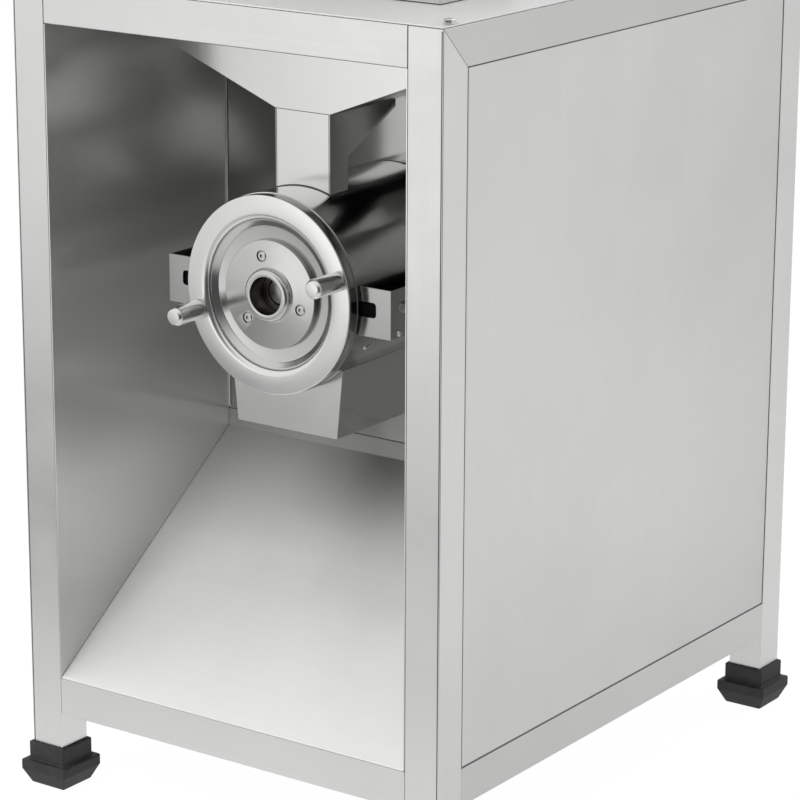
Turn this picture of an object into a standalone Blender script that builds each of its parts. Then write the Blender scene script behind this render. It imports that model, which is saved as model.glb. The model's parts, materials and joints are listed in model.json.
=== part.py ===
"""Hammer mill in a stainless-steel cabinet: square-tube frame, feed hopper, milling drum with
swinging hammers behind a cover with a lock ring, discharge slide, and a belt drive at the back.

Metres, +Z up. The origin is on the floor under the middle of the cabinet. The front faces -Y, and
the milling drum's axis runs along Y.
"""

import math

import bmesh
import bpy
from mathutils import Vector

GAP = 0.0003  # left between any two pieces that touch
SEGMENTS = 48

# Cabinet frame
WIDTH = 0.498
DEPTH = 0.650
FRAME_TOP = 0.818
TUBE = 0.038
TUBE_WALL = 0.0015
LOWER_RAIL_BASE = 0.082

# Rubber foot caps, from the floor up: toe, flange, collar round the tube
FOOT_WALL = 0.0035  # the collar's, round the tube
FOOT_LEDGE = 0.006
FOOT_DRAFT = 0.0075
FOOT_TAPER = 0.016
FOOT_FLANGE_HEIGHT = 0.010
FOOT_COLLAR_HEIGHT = 0.019

# Sheet metal
SHEET = 0.0012
PANEL_RETURN = 0.020
PANEL_BEND = 0.0022
TOP_PLATE = 0.0015
MOTOR_PLATE = 0.003
MOTOR_PLATE_REST = 0.013

# Front compartment
COMPARTMENT_DEPTH = 0.2755
SLIDE_BACK_HEIGHT = 0.3207
SLIDE_UPSTAND = 0.0188
SLIDE_HEM = 0.024

# Milling drum
DRUM_HEIGHT = 0.5315
DRUM_RADIUS = 0.0965
DRUM_WALL = 0.008
DRUM_SETBACK = 0.082  # behind the cabinet's front
DRUM_BACK_WALL = 0.008
DRUM_FLANGE_LEDGE = 0.001
DRUM_FLANGE = 0.002
THREAD_STEP = 0.003
THREAD_COLLAR = 0.0035

# Cover, lock ring and bearing hub, forward of the drum
COVER_FLANGE = 0.0032
COVER_SPIGOT = 0.008
DISH_DEPTH = 0.004
DISH_INSET = 0.0012  # of its edge, inside the ring's lip
DISH_SLOPE = 0.0045
RING_WALL = 0.003
RING_FACE = 0.024
RING_LIP = 0.0047
RING_EDGE = 0.0015
PIN_RADIUS = 0.0095
PIN_LENGTH = 0.040
PIN_INSET = 0.0103  # of its axis, from the ring's edge
PIN_ANGLE = 17.0
PIN_EDGE = 0.002
HUB_FLANGE = 0.005
HUB_MARGIN = 0.0155  # from the screws' circle to the flange's edge
BOSS_CHAMFER = 0.005
BOSS_LAND = 0.0026
BOSS_HEIGHT = 0.007
HUB_NOSE_WALL = 0.0116
HUB_NOSE = 0.022
HUB_SCREW_INSET = 0.0115  # of its axis, from the boss
HUB_SCREW_ANGLE = 104.5
HUB_SCREW_POCKET_RADIUS = 0.0058
HUB_SCREW_POCKET = 0.0036
BUSH_LENGTH = 0.014
BUSH_WALL = 0.0053

# Rotor
SHAFT_RADIUS = 0.0125
SHAFT_HOLE_CLEARANCE = 0.0035
SHAFT_INSET = 0.002  # of its front end, in the bush
SHAFT_PROUD = 0.006  # behind its pulley
ROTOR_HUB_WALL = 0.0075
DISC_RADIUS = 0.060
DISC = 0.005
DISC_PITCH = 0.052
DISC_COUNT = 3
ROD_RADIUS = 0.005
ROD_CIRCLE = 0.050
ROD_ANGLES = (-90.0, 30.0, 150.0)
HAMMER = 0.006
HAMMER_WIDTH = 0.020
HAMMER_HEEL = 0.010
HAMMER_TIP_CLEARANCE = 0.006  # to the screen
SCREEN = 0.0015
SCREEN_CLEARANCE = 0.0005
SCREEN_HALF_ANGLE = 80.0

# Feed funnel under the top plate, and hopper above it
FUNNEL_HALF_WIDTH = 0.161
FUNNEL_SETBACK = 0.127
FUNNEL_DEPTH = 0.107
FUNNEL_SHOULDER = 0.750
FUNNEL_FLANGE = 0.012
NECK_HALF_WIDTH = 0.0325
NECK_TOP = 0.700
NECK_SLOPE_TOP = 0.6925
NECK_DEPTH = 0.0285
NECK_ELBOW = 0.6545
HOPPER_WALL = 0.0015
HOPPER_MARGIN = 0.005
HOPPER_COLLAR = 0.030
HOPPER_HEIGHT = 0.170
HOPPER_FLARE_SIDE = 0.064
HOPPER_FLARE_DEPTH = 0.080
HOPPER_RIM = 0.012

# Drum brackets
BRACKET_SHEET = 0.002
BRACKET_SETBACK = 0.086
BRACKET_REACH = 0.036  # beyond the drum
BRACKET_BASE = 0.504
BRACKET_TOP = 0.5515
BRACKET_SLOT_REACH = 0.019
BRACKET_SLOT_HEIGHT = 0.0145
BRACKET_SLOT_CORNER = 0.0035
BRACKET_SLOT_Z = 0.530

# Discharge chute
CHUTE_SETBACK = 0.100
CHUTE_TOP_HALF_WIDTH = 0.067
CHUTE_BASE_HALF_WIDTH = 0.060
CHUTE_BASE = 0.3925
OUTLET_HALF_WIDTH = 0.058
OUTLET_END_MARGIN = 0.006

# Drive
BEARING_RADIUS = 0.045
BEARING_FLANGE = 0.008
BEARING_NOSE_WALL = 0.0135
BEARING = 0.022
PULLEY_GAP = 0.004
PULLEY_WIDTH = 0.022
ROTOR_PULLEY_RADIUS = 0.040
MOTOR_PULLEY_RADIUS = 0.055
BELT_TOP_WIDTH = 0.013
BELT_BASE_WIDTH = 0.0085
BELT = 0.008
BELT_PROUD = 0.001
MOTOR_RADIUS = 0.072
MOTOR_REAR_CLEARANCE = 0.054  # to the rear rail
MOTOR_END_STEP = 0.0072
MOTOR_SHAFT_RADIUS = 0.0095
MOTOR_AXIS_HEIGHT = 0.090
MOTOR_FOOT_HALF_WIDTH = 0.070
MOTOR_FOOT = 0.012
MOTOR_FOOT_INSET = 0.0425  # from each end of the casing
MOTOR_NOSE_RADIUS = 0.030
MOTOR_NOSE = 0.010
MOTOR_TO_PULLEY = 0.008
MOTOR_SHAFT_PROUD = 0.003

# Switch box in the left panel, and cable gland in the motor plate
SWITCH_Y = 0.150
SWITCH_Z = 0.640
SWITCH_HALF = (0.033, 0.053)
SWITCH_WALL = 0.002
SWITCH_LIP = 0.006
SWITCH_RECESS = 0.0085
SWITCH_BODY = 0.039
BUTTON_RADIUS = 0.0110
BUTTON_SPACING = 0.048
BUTTON_PROUD = 0.006
BUTTON_TRAVEL = 0.003
BUTTON_BODY = 0.010
GLAND_X = -0.150
GLAND_INSET = 0.047  # from the rear rail
GLAND_RADIUS = 0.0082
GLAND_NUT_RADIUS = 0.0125
GLAND_NUT = 0.006
GLAND_DROP = 0.020
GLAND_BORE = 0.0045

# Ventilation slots in the rear panel
VENT_COUNT = 7
VENT_LENGTH = 0.120
VENT_HEIGHT = 0.006
VENT_PITCH = 0.018
VENT_BASE = 0.240

# Places that follow from the sizes above
INNER_X = WIDTH / 2 - TUBE
INNER_Y = DEPTH / 2 - TUBE
POST_X = (WIDTH - TUBE) / 2
POST_Y = (DEPTH - TUBE) / 2
FOOT_COLLAR = TUBE + 2 * FOOT_WALL
FOOT_FLANGE = FOOT_COLLAR + 2 * FOOT_LEDGE
FOOT_TOE = FOOT_FLANGE - 2 * FOOT_DRAFT
FOOT_SEAT = FOOT_TAPER + FOOT_FLANGE_HEIGHT
RAIL_Z = LOWER_RAIL_BASE + TUBE / 2
RAIL_TOP = LOWER_RAIL_BASE + TUBE
TOP_RAIL_Z = FRAME_TOP - TUBE / 2
TOP_RAIL_BASE = FRAME_TOP - TUBE
FRONT = -DEPTH / 2
PARTITION_FRONT = FRONT + COMPARTMENT_DEPTH
PARTITION_BACK = PARTITION_FRONT + SHEET
DRUM_BACK = PARTITION_FRONT - GAP
DRUM_FRONT = FRONT + DRUM_SETBACK
DRUM_BORE = DRUM_RADIUS - DRUM_WALL
DRUM_FLANGE_RADIUS = DRUM_RADIUS + DRUM_FLANGE_LEDGE
THREAD_COLLAR_RADIUS = DRUM_RADIUS - THREAD_STEP
DRUM_AXIS = Vector((0, 0, DRUM_HEIGHT))
SHAFT_HOLE = SHAFT_RADIUS + SHAFT_HOLE_CLEARANCE
COLLAR_FRONT = DRUM_FRONT - THREAD_COLLAR
COVER_SEAT = COLLAR_FRONT - GAP
RING_RADIUS = THREAD_COLLAR_RADIUS + GAP + RING_WALL
RING_LIP_RADIUS = RING_RADIUS - RING_FACE
PIN_CIRCLE = RING_RADIUS - PIN_INSET
DISH_EDGE_RADIUS = RING_LIP_RADIUS - DISH_INSET
DISH_RADIUS = DISH_EDGE_RADIUS - DISH_SLOPE
HUB_BORE = SHAFT_RADIUS + 2 * GAP + BUSH_WALL
HUB_NOSE_RADIUS = HUB_BORE + HUB_NOSE_WALL
BOSS_FACE_RADIUS = HUB_BORE + BOSS_LAND
BOSS_RADIUS = BOSS_FACE_RADIUS + BOSS_CHAMFER
HUB_SCREW_CIRCLE = BOSS_RADIUS + HUB_SCREW_INSET
HUB_RADIUS = HUB_SCREW_CIRCLE + HUB_MARGIN
COVER_FRONT = COVER_SEAT - COVER_FLANGE
RING_FRONT = COVER_FRONT - GAP - RING_LIP
DISH = COVER_FRONT + DISH_DEPTH
HUB_BACK = DISH - GAP
HUB_FRONT = HUB_BACK - HUB_FLANGE
BOSS_FRONT = HUB_FRONT - BOSS_HEIGHT
HUB_END = HUB_BACK + HUB_NOSE
BUSH_FRONT = HUB_END - BUSH_LENGTH
SHAFT_FRONT = BUSH_FRONT + SHAFT_INSET
BEARING_FRONT = PARTITION_BACK + GAP
PULLEY_FRONT = BEARING_FRONT + BEARING + PULLEY_GAP
PULLEY_BACK = PULLEY_FRONT + PULLEY_WIDTH
BELT_Y = (PULLEY_FRONT + PULLEY_BACK) / 2
SHAFT_BACK = PULLEY_BACK + SHAFT_PROUD
BEARING_NOSE_RADIUS = SHAFT_RADIUS + BEARING_NOSE_WALL
ROTOR_HUB_RADIUS = SHAFT_RADIUS + ROTOR_HUB_WALL
SCREEN_RADIUS = DRUM_BORE - SCREEN_CLEARANCE
HAMMER_REACH = SCREEN_RADIUS - SCREEN - HAMMER_TIP_CLEARANCE - ROD_CIRCLE
FUNNEL_FRONT = FRONT + FUNNEL_SETBACK
FUNNEL_BACK = FUNNEL_FRONT + FUNNEL_DEPTH
NECK_BACK = FUNNEL_FRONT + NECK_DEPTH
BRACKET_FRONT = FRONT + BRACKET_SETBACK
BRACKET_HALF_WIDTH = DRUM_RADIUS + BRACKET_REACH
CHUTE_FRONT = FRONT + CHUTE_SETBACK
ROTOR_MIDDLE = (COVER_SEAT + COVER_SPIGOT + DRUM_BACK - DRUM_BACK_WALL) / 2
MOTOR_BASE = RAIL_TOP + GAP + MOTOR_PLATE
MOTOR_AXIS = Vector((0, 0, MOTOR_BASE + GAP + MOTOR_AXIS_HEIGHT))
MOTOR_FRONT = PULLEY_BACK + MOTOR_TO_PULLEY
MOTOR_BACK = INNER_Y - MOTOR_REAR_CLEARANCE
GLAND_Y = INNER_Y - GLAND_INSET
PLATE_TOP = FRAME_TOP + GAP + TOP_PLATE


def material(name, colour, roughness, metallic):
    made = bpy.data.materials.new(name)
    made.use_nodes = True
    shader = made.node_tree.nodes["Principled BSDF"]
    shader.inputs["Base Color"].default_value = (*colour, 1)
    shader.inputs["Roughness"].default_value = roughness
    shader.inputs["Metallic"].default_value = metallic
    return made


def loft(rings, closed=False):
    """A skin over rings of points. closed joins the last ring to the first; otherwise the ends are capped."""
    bm = bmesh.new()
    loops = [[bm.verts.new(point) for point in ring] for ring in rings]
    pairs = list(zip(loops, loops[1:]))
    if closed:
        pairs.append((loops[-1], loops[0]))
    else:
        bm.faces.new(loops[0])
        bm.faces.new(loops[-1])
    for one, two in pairs:
        for i, j in zip(range(-1, len(one) - 1), range(len(one))):
            bm.faces.new((one[i], one[j], two[j], two[i]))
    bmesh.ops.recalc_face_normals(bm, faces=bm.faces)
    return bm


def prism(outline, axis, start, end):
    """An outline extruded along X, Y or Z. Its points are the other two coordinates, in X, Y, Z order."""
    at = "XYZ".index(axis)
    rings = []
    for place in (start, end):
        rings.append([(*point[:at], place, *point[at:]) for point in outline])
    return loft(rings)


def rectangle(low_u, high_u, low_v, high_v):
    return [(low_u, low_v), (high_u, low_v), (high_u, high_v), (low_u, high_v)]


def box(low, high):
    return prism(rectangle(low[0], high[0], low[1], high[1]), "Z", low[2], high[2])


def circle(radius, segments=SEGMENTS):
    turns = [math.tau * i / segments for i in range(segments)]
    return [(radius * math.cos(turn), radius * math.sin(turn)) for turn in turns]


def turned(profile, axis="Y", closed=True, segments=SEGMENTS):
    """A profile of (radius, place along the axis) turned about the axis."""
    at = "XYZ".index(axis)
    rings = []
    for radius, place in profile:
        rings.append([(*point[:at], place, *point[at:]) for point in circle(radius, segments)])
    return loft(rings, closed)


def stepped_square(profile):
    """Square rings of (half width, height), capped at both ends."""
    rings = []
    for half, z in profile:
        rings.append([(*point, z) for point in rectangle(-half, half, -half, half)])
    return loft(rings)


def merge(*parts):
    """Several closed bodies in one mesh, for a cutter."""
    whole = bmesh.new()
    for part in parts:
        mesh = bpy.data.meshes.new("part")
        part.to_mesh(mesh)
        part.free()
        whole.from_mesh(mesh)
        bpy.data.meshes.remove(mesh)
    return whole


def place(name, bm, at):
    mesh = bpy.data.meshes.new(name)
    bm.to_mesh(mesh)
    bm.free()
    obj = bpy.data.objects.new(name, mesh)
    obj.location = at
    bpy.context.scene.collection.objects.link(obj)
    return obj


def piece(name, bm, finish, at=(0, 0, 0), smooth=False):
    obj = place(name, bm, at)
    obj.data.materials.append(finish)
    if smooth:
        obj.data.shade_smooth()
        obj.data.set_sharp_from_angle(angle=math.radians(30))
    return obj


def copy_of(obj, name, at, turn=(0, 0, 0)):
    made = bpy.data.objects.new(name, obj.data)
    made.location = at
    made.rotation_euler = turn
    bpy.context.scene.collection.objects.link(made)
    return made


def cut(obj, bm, at=(0, 0, 0)):
    cutter = place(obj.name + "_cutter", bm, at)
    cutter.hide_render = True
    cutter.display_type = "WIRE"
    modifier = obj.modifiers.new("cut", "BOOLEAN")
    modifier.operation = "DIFFERENCE"
    modifier.solver = "EXACT"
    modifier.object = cutter


def square_tube(name, axis, half_length, lean=None, finish=None, at=(0, 0, 0)):
    """A hollow square tube centred on at. lean slopes each end face: its (start, end) give the direction
    across the tube in which that end reaches further."""
    along = Vector([axis == letter for letter in "XYZ"])
    across = [Vector([other == letter for letter in "XYZ"]) for other in "XYZ" if other != axis]
    leans = lean or (Vector(), Vector())
    rings = []
    for half, end in ((TUBE / 2, 0), (TUBE / 2, 1), (TUBE / 2 - TUBE_WALL, 1), (TUBE / 2 - TUBE_WALL, 0)):
        sense = (-1, 1)[end]
        ring = []
        for u, v in rectangle(-half, half, -half, half):
            corner = across[0] * u + across[1] * v
            reach = half_length + corner.dot(leans[end])
            ring.append(corner + along * sense * reach)
        rings.append(ring)
    return piece(name, loft(rings, closed=True), finish, at)


def frame(steel):
    """Posts run the full height. The top side rails are mitred into them, and the other rails butt."""
    low = FOOT_SEAT + GAP
    for front, y in (("front", -POST_Y), ("rear", POST_Y)):
        inward = Vector((0, math.copysign(1, y), 0))
        half = (TOP_RAIL_Z - low) / 2
        for side, x in (("left", -POST_X), ("right", POST_X)):
            at = (x, y, low + half)
            square_tube(f"{front}_{side}_post", "Z", half, (Vector(), inward), steel, at)
        for level, z in (("bottom", RAIL_Z), ("top", TOP_RAIL_Z)):
            square_tube(f"{front}_{level}_rail", "X", INNER_X - GAP, None, steel, (0, y, z))
    for side, x in (("left", -POST_X), ("right", POST_X)):
        square_tube(f"{side}_bottom_rail", "Y", INNER_Y - GAP, None, steel, (x, 0, RAIL_Z))
        up = Vector((0, 0, 1))
        square_tube(f"{side}_top_rail", "Y", POST_Y - 1.5 * GAP, (up, up), steel, (x, 0, TOP_RAIL_Z))


def feet(rubber):
    profile = [
        (FOOT_TOE / 2, 0),
        (FOOT_FLANGE / 2, FOOT_TAPER),
        (FOOT_FLANGE / 2, FOOT_SEAT),
        (FOOT_COLLAR / 2, FOOT_SEAT),
        (FOOT_COLLAR / 2, FOOT_SEAT + FOOT_COLLAR_HEIGHT),
        (TUBE / 2 + GAP, FOOT_SEAT + FOOT_COLLAR_HEIGHT),
        (TUBE / 2 + GAP, FOOT_SEAT),
    ]
    first = piece("front_left_foot", stepped_square(profile), rubber, (-POST_X, -POST_Y, 0))
    copy_of(first, "front_right_foot", (POST_X, -POST_Y, 0))
    copy_of(first, "rear_left_foot", (-POST_X, POST_Y, 0))
    copy_of(first, "rear_right_foot", (POST_X, POST_Y, 0))


def pan(name, normal, half_width, finish, at):
    """A folded sheet panel that fills a frame opening flush. Its outer face is towards normal, and at is
    the middle of that face."""
    half_height = (TOP_RAIL_BASE - RAIL_TOP) / 2 - GAP
    normal = Vector(normal)
    across = normal.cross(Vector((0, 0, 1)))
    bend = []
    for turn in (0, math.pi / 4, math.pi / 2):
        bend.append((PANEL_BEND * (1 - math.sin(turn)), PANEL_BEND * (1 - math.cos(turn))))
    edges = [*bend, (0, PANEL_RETURN), (SHEET, PANEL_RETURN), (SHEET, PANEL_BEND), (PANEL_BEND, SHEET)]
    rings = []
    for inset, depth in edges:
        outline = rectangle(
            inset - half_width, half_width - inset, inset - half_height, half_height - inset
        )
        rings.append([across * u + Vector((0, 0, v)) - normal * depth for u, v in outline])
    return piece(name, loft(rings), finish, at)


def panels(steel):
    middle = (TOP_RAIL_BASE + RAIL_TOP) / 2
    pan("right_side_panel", (1, 0, 0), INNER_Y - GAP, steel, (WIDTH / 2, 0, middle))
    left = pan("left_side_panel", (-1, 0, 0), INNER_Y - GAP, steel, (-WIDTH / 2, 0, middle))
    half_y, half_z = SWITCH_HALF
    low = (-WIDTH / 2 - SHEET, SWITCH_Y - half_y, SWITCH_Z - half_z)
    high = (-WIDTH / 2 + 2 * SHEET, SWITCH_Y + half_y, SWITCH_Z + half_z)
    cut(left, box(low, high))
    rear = pan("rear_panel", (0, 1, 0), INNER_X - GAP, steel, (0, DEPTH / 2, middle))
    slots = []
    for column in (-1, 1):
        for row in range(VENT_COUNT):
            x = column * VENT_LENGTH * 0.75
            z = VENT_BASE + row * VENT_PITCH
            low = (x - VENT_LENGTH / 2, DEPTH / 2 - 2 * SHEET, z)
            high = (x + VENT_LENGTH / 2, DEPTH / 2 + SHEET, z + VENT_HEIGHT)
            slots.append(box(low, high))
    cut(rear, merge(*slots))


def top_plate(steel):
    low = (-WIDTH / 2, -DEPTH / 2, FRAME_TOP + GAP)
    plate = piece("top_plate", box(low, (WIDTH / 2, DEPTH / 2, PLATE_TOP)), steel)
    wall = FUNNEL_HALF_WIDTH - SHEET
    low = (-wall, FUNNEL_FRONT + SHEET, FRAME_TOP - TUBE)
    cut(plate, box(low, (wall, FUNNEL_BACK - SHEET, PLATE_TOP + TUBE)))


def compartment(steel):
    """Liners against the posts' inner faces, the partition behind the drum, and the slide below it."""
    for side, sense in (("left", -1), ("right", 1)):
        outer = sense * (INNER_X - GAP)
        inner = outer - sense * SHEET
        low = (min(outer, inner), FRONT, RAIL_TOP + GAP)
        high = (max(outer, inner), PARTITION_FRONT - GAP, TOP_RAIL_BASE - GAP)
        piece(f"{side}_liner", box(low, high), steel)
    low = (GAP - INNER_X, PARTITION_FRONT, LOWER_RAIL_BASE)
    high = (INNER_X - GAP, PARTITION_BACK, FRAME_TOP - GAP)
    partition = piece("partition", box(low, high), steel)
    cut(partition, turned_rod(SHAFT_HOLE, PARTITION_FRONT - SHEET, PARTITION_BACK + SHEET), DRUM_AXIS)

    rest = RAIL_TOP + GAP
    back = PARTITION_FRONT - GAP
    rise = (SLIDE_BACK_HEIGHT - rest) / (back - FRONT)
    lift = SHEET * math.hypot(1, rise)
    fold = SHEET * (math.hypot(1, rise) - rise)
    outline = [
        (FRONT + SLIDE_HEM, rest),
        (FRONT, rest),
        (FRONT, rest + lift),
        (back - SHEET, SLIDE_BACK_HEIGHT - SHEET * rise + lift),
        (back - SHEET, SLIDE_BACK_HEIGHT + SLIDE_UPSTAND),
        (back, SLIDE_BACK_HEIGHT + SLIDE_UPSTAND),
        (back, SLIDE_BACK_HEIGHT),
        (FRONT + (SHEET + GAP) / rise + fold, rest + SHEET + GAP + fold * rise),
        (FRONT + SLIDE_HEM, rest + SHEET),
    ]
    half = INNER_X - 2 * GAP - SHEET
    piece("discharge_slide", prism(outline, "X", -half, half), steel)


def turned_rod(radius, start, end, axis="Y", segments=SEGMENTS):
    return turned([(radius, start), (radius, end)], axis, False, segments)


def corner_rings(levels):
    """Rectangular rings of (half width, front, back, height)."""
    rings = []
    for half, front, back, z in levels:
        rings.append([(*point, z) for point in rectangle(-half, half, front, back)])
    return rings


def knee(thickness, rise):
    """How far a sheet's inner fold line lies above its outer one, where a wall meets a slope."""
    return thickness * (math.hypot(1, rise) - rise)


def feed(steel):
    top = FRAME_TOP - GAP
    side_rise = (FUNNEL_SHOULDER - NECK_TOP) / (FUNNEL_HALF_WIDTH - NECK_HALF_WIDTH)
    back_rise = (NECK_SLOPE_TOP - NECK_ELBOW) / (FUNNEL_BACK - NECK_BACK)
    side_knee = knee(SHEET, side_rise)
    back_knee = knee(SHEET, back_rise)
    wide, narrow = FUNNEL_HALF_WIDTH, NECK_HALF_WIDTH
    front, back, low = FUNNEL_FRONT, FUNNEL_BACK, DRUM_HEIGHT + DRUM_RADIUS * 0.8
    inner_front, inner_back, inner_neck = front + SHEET, back - SHEET, NECK_BACK - SHEET
    flange = (wide + FUNNEL_FLANGE, front - FUNNEL_FLANGE, back + FUNNEL_FLANGE)
    levels = [
        (*flange, top),
        (*flange, top - SHEET),
        (wide, front, back, top - SHEET),
        (wide, front, back, FUNNEL_SHOULDER),
        (narrow, front, back, NECK_TOP),
        (narrow, front, back, NECK_SLOPE_TOP),
        (narrow, front, NECK_BACK, NECK_ELBOW),
        (narrow, front, NECK_BACK, low),
        (narrow - SHEET, inner_front, inner_neck, low),
        (narrow - SHEET, inner_front, inner_neck, NECK_ELBOW + back_knee),
        (narrow - SHEET, inner_front, inner_back, NECK_SLOPE_TOP + back_knee),
        (narrow - SHEET, inner_front, inner_back, NECK_TOP + side_knee),
        (wide - SHEET, inner_front, inner_back, FUNNEL_SHOULDER + side_knee),
        (wide - SHEET, inner_front, inner_back, top),
    ]
    funnel = piece("feed_funnel", loft(corner_rings(levels), closed=True), steel)
    cut(funnel, turned_rod(DRUM_RADIUS + GAP, FUNNEL_FRONT - SHEET, FUNNEL_BACK), DRUM_AXIS)

    base = PLATE_TOP + GAP
    collar = base + HOPPER_COLLAR
    mouth = base + HOPPER_HEIGHT
    front, back = FUNNEL_FRONT - HOPPER_MARGIN, FUNNEL_BACK + HOPPER_MARGIN
    flare = (wide + HOPPER_FLARE_SIDE, front - HOPPER_FLARE_DEPTH, back + HOPPER_FLARE_DEPTH)
    rim = (flare[0] + HOPPER_RIM, flare[1] - HOPPER_RIM, flare[2] + HOPPER_RIM)
    wall = HOPPER_WALL
    levels = [
        (wide, front, back, base),
        (wide, front, back, collar),
        (*flare, mouth - wall),
        (*rim, mouth - wall),
        (*rim, mouth),
        (flare[0] - wall, flare[1] + wall, flare[2] - wall, mouth),
        (wide - wall, front + wall, back - wall, collar + wall),
        (wide - wall, front + wall, back - wall, base),
    ]
    piece("feed_hopper", loft(corner_rings(levels), closed=True), steel)


def drum(steel):
    """The drum with its flange and thread collar, its brackets, chute and screen."""
    back_inner = DRUM_BACK - DRUM_BACK_WALL
    profile = [
        (SHAFT_HOLE, DRUM_BACK),
        (DRUM_RADIUS, DRUM_BACK),
        (DRUM_RADIUS, DRUM_FRONT + DRUM_FLANGE),
        (DRUM_FLANGE_RADIUS, DRUM_FRONT + DRUM_FLANGE),
        (DRUM_FLANGE_RADIUS, DRUM_FRONT),
        (THREAD_COLLAR_RADIUS, DRUM_FRONT),
        (THREAD_COLLAR_RADIUS, COLLAR_FRONT),
        (DRUM_BORE, COLLAR_FRONT),
        (DRUM_BORE, back_inner),
        (SHAFT_HOLE, back_inner),
    ]
    housing = piece("drum_housing", turned(profile), steel, DRUM_AXIS, smooth=True)
    inlet_half = NECK_HALF_WIDTH - SHEET
    low = (-inlet_half, FUNNEL_FRONT + SHEET, DRUM_HEIGHT)
    cut(housing, box(low, (inlet_half, NECK_BACK - SHEET, DRUM_HEIGHT + 2 * DRUM_RADIUS)))
    outlet_front = CHUTE_FRONT + SHEET + OUTLET_END_MARGIN
    low = (-OUTLET_HALF_WIDTH, outlet_front, DRUM_HEIGHT - 2 * DRUM_RADIUS)
    cut(housing, box(low, (OUTLET_HALF_WIDTH, back_inner - OUTLET_END_MARGIN, DRUM_HEIGHT)))

    around = turned_rod(DRUM_RADIUS + GAP, BRACKET_FRONT - TUBE, PARTITION_FRONT)
    back = PARTITION_FRONT - GAP
    slot_outer = DRUM_RADIUS + BRACKET_SLOT_REACH
    slot_middle = (slot_outer + DRUM_RADIUS / 2) / 2
    corner = (
        slot_outer - slot_middle - BRACKET_SLOT_CORNER,
        BRACKET_SLOT_HEIGHT / 2 - BRACKET_SLOT_CORNER,
    )
    outline = []
    for i in range(16):
        turn = math.tau * (i + 0.5) / 16
        x = math.copysign(corner[0], math.cos(turn)) + BRACKET_SLOT_CORNER * math.cos(turn)
        z = math.copysign(corner[1], math.sin(turn)) + BRACKET_SLOT_CORNER * math.sin(turn)
        outline.append((x, z))
    for side, sense in (("left", -1), ("right", 1)):
        outer, inner = sense * BRACKET_HALF_WIDTH, sense * (BRACKET_HALF_WIDTH - BRACKET_SHEET)
        near = sense * DRUM_RADIUS / 2
        low = (min(outer, near), BRACKET_FRONT, BRACKET_BASE)
        bracket = piece(f"{side}_drum_bracket", box(low, (max(outer, near), back, BRACKET_TOP)), steel)
        hollow = (inner, sense * DRUM_RADIUS / 3)
        low = (min(hollow), BRACKET_FRONT + BRACKET_SHEET, BRACKET_BASE + BRACKET_SHEET)
        cut(bracket, box(low, (max(hollow), 0, BRACKET_TOP + TUBE)))
        cut(bracket, around.copy(), DRUM_AXIS)
        slot = prism(outline, "Y", BRACKET_FRONT - TUBE, BRACKET_FRONT + 2 * BRACKET_SHEET)
        cut(bracket, slot, (sense * slot_middle, 0, BRACKET_SLOT_Z))
    around.free()

    taper = (CHUTE_TOP_HALF_WIDTH - CHUTE_BASE_HALF_WIDTH) / (
        DRUM_HEIGHT - math.sqrt(DRUM_RADIUS**2 - CHUTE_TOP_HALF_WIDTH**2) - CHUTE_BASE
    )
    top = DRUM_HEIGHT - DRUM_RADIUS / 2
    wide = CHUTE_BASE_HALF_WIDTH + taper * (top - CHUTE_BASE)
    levels = [
        (CHUTE_BASE_HALF_WIDTH, CHUTE_FRONT, back, CHUTE_BASE),
        (wide, CHUTE_FRONT, back, top),
        (wide - SHEET, CHUTE_FRONT + SHEET, back - SHEET, top),
        (CHUTE_BASE_HALF_WIDTH - SHEET, CHUTE_FRONT + SHEET, back - SHEET, CHUTE_BASE),
    ]
    chute = piece("discharge_chute", loft(corner_rings(levels), closed=True), steel)
    cut(chute, turned_rod(DRUM_RADIUS + GAP, CHUTE_FRONT - TUBE, PARTITION_FRONT + TUBE), DRUM_AXIS)
    piece("sieve_screen", screen(), steel, DRUM_AXIS)


def screen():
    """A half-round perforated sheet in the drum's lower half: every other cell of its grid is a hole."""
    around, along = 25, 13
    start = COVER_SEAT + COVER_SPIGOT + SCREEN_CLEARANCE
    end = DRUM_BACK - DRUM_BACK_WALL - SCREEN_CLEARANCE
    bm = bmesh.new()
    grids = []
    for radius in (SCREEN_RADIUS, SCREEN_RADIUS - SCREEN):
        grid = []
        for i in range(around + 1):
            turn = math.radians(-90 + SCREEN_HALF_ANGLE * (2 * i / around - 1))
            for j in range(along + 1):
                y = start + (end - start) * j / along
                grid.append(bm.verts.new((radius * math.cos(turn), y, radius * math.sin(turn))))
        grids.append(grid)
    edges = {}
    for i in range(around):
        for j in range(along):
            if i % 2 and j % 2:
                continue
            near, far = i * (along + 1) + j, (i + 1) * (along + 1) + j
            cell = [near, far, far + 1, near + 1]
            for grid in grids:
                bm.faces.new([grid[k] for k in cell])
            for one, two in zip(cell, cell[1:] + cell[:1]):
                key = (min(one, two), max(one, two))
                edges[key] = edges.get(key, 0) + 1
    for (one, two), uses in edges.items():
        if uses == 1:
            bm.faces.new((grids[0][one], grids[0][two], grids[1][two], grids[1][one]))
    bmesh.ops.recalc_face_normals(bm, faces=bm.faces)
    return bm


def on_circle(radius, degrees, y=0.0):
    turn = math.radians(degrees)
    return DRUM_AXIS + Vector((radius * math.cos(turn), y, radius * math.sin(turn)))


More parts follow.
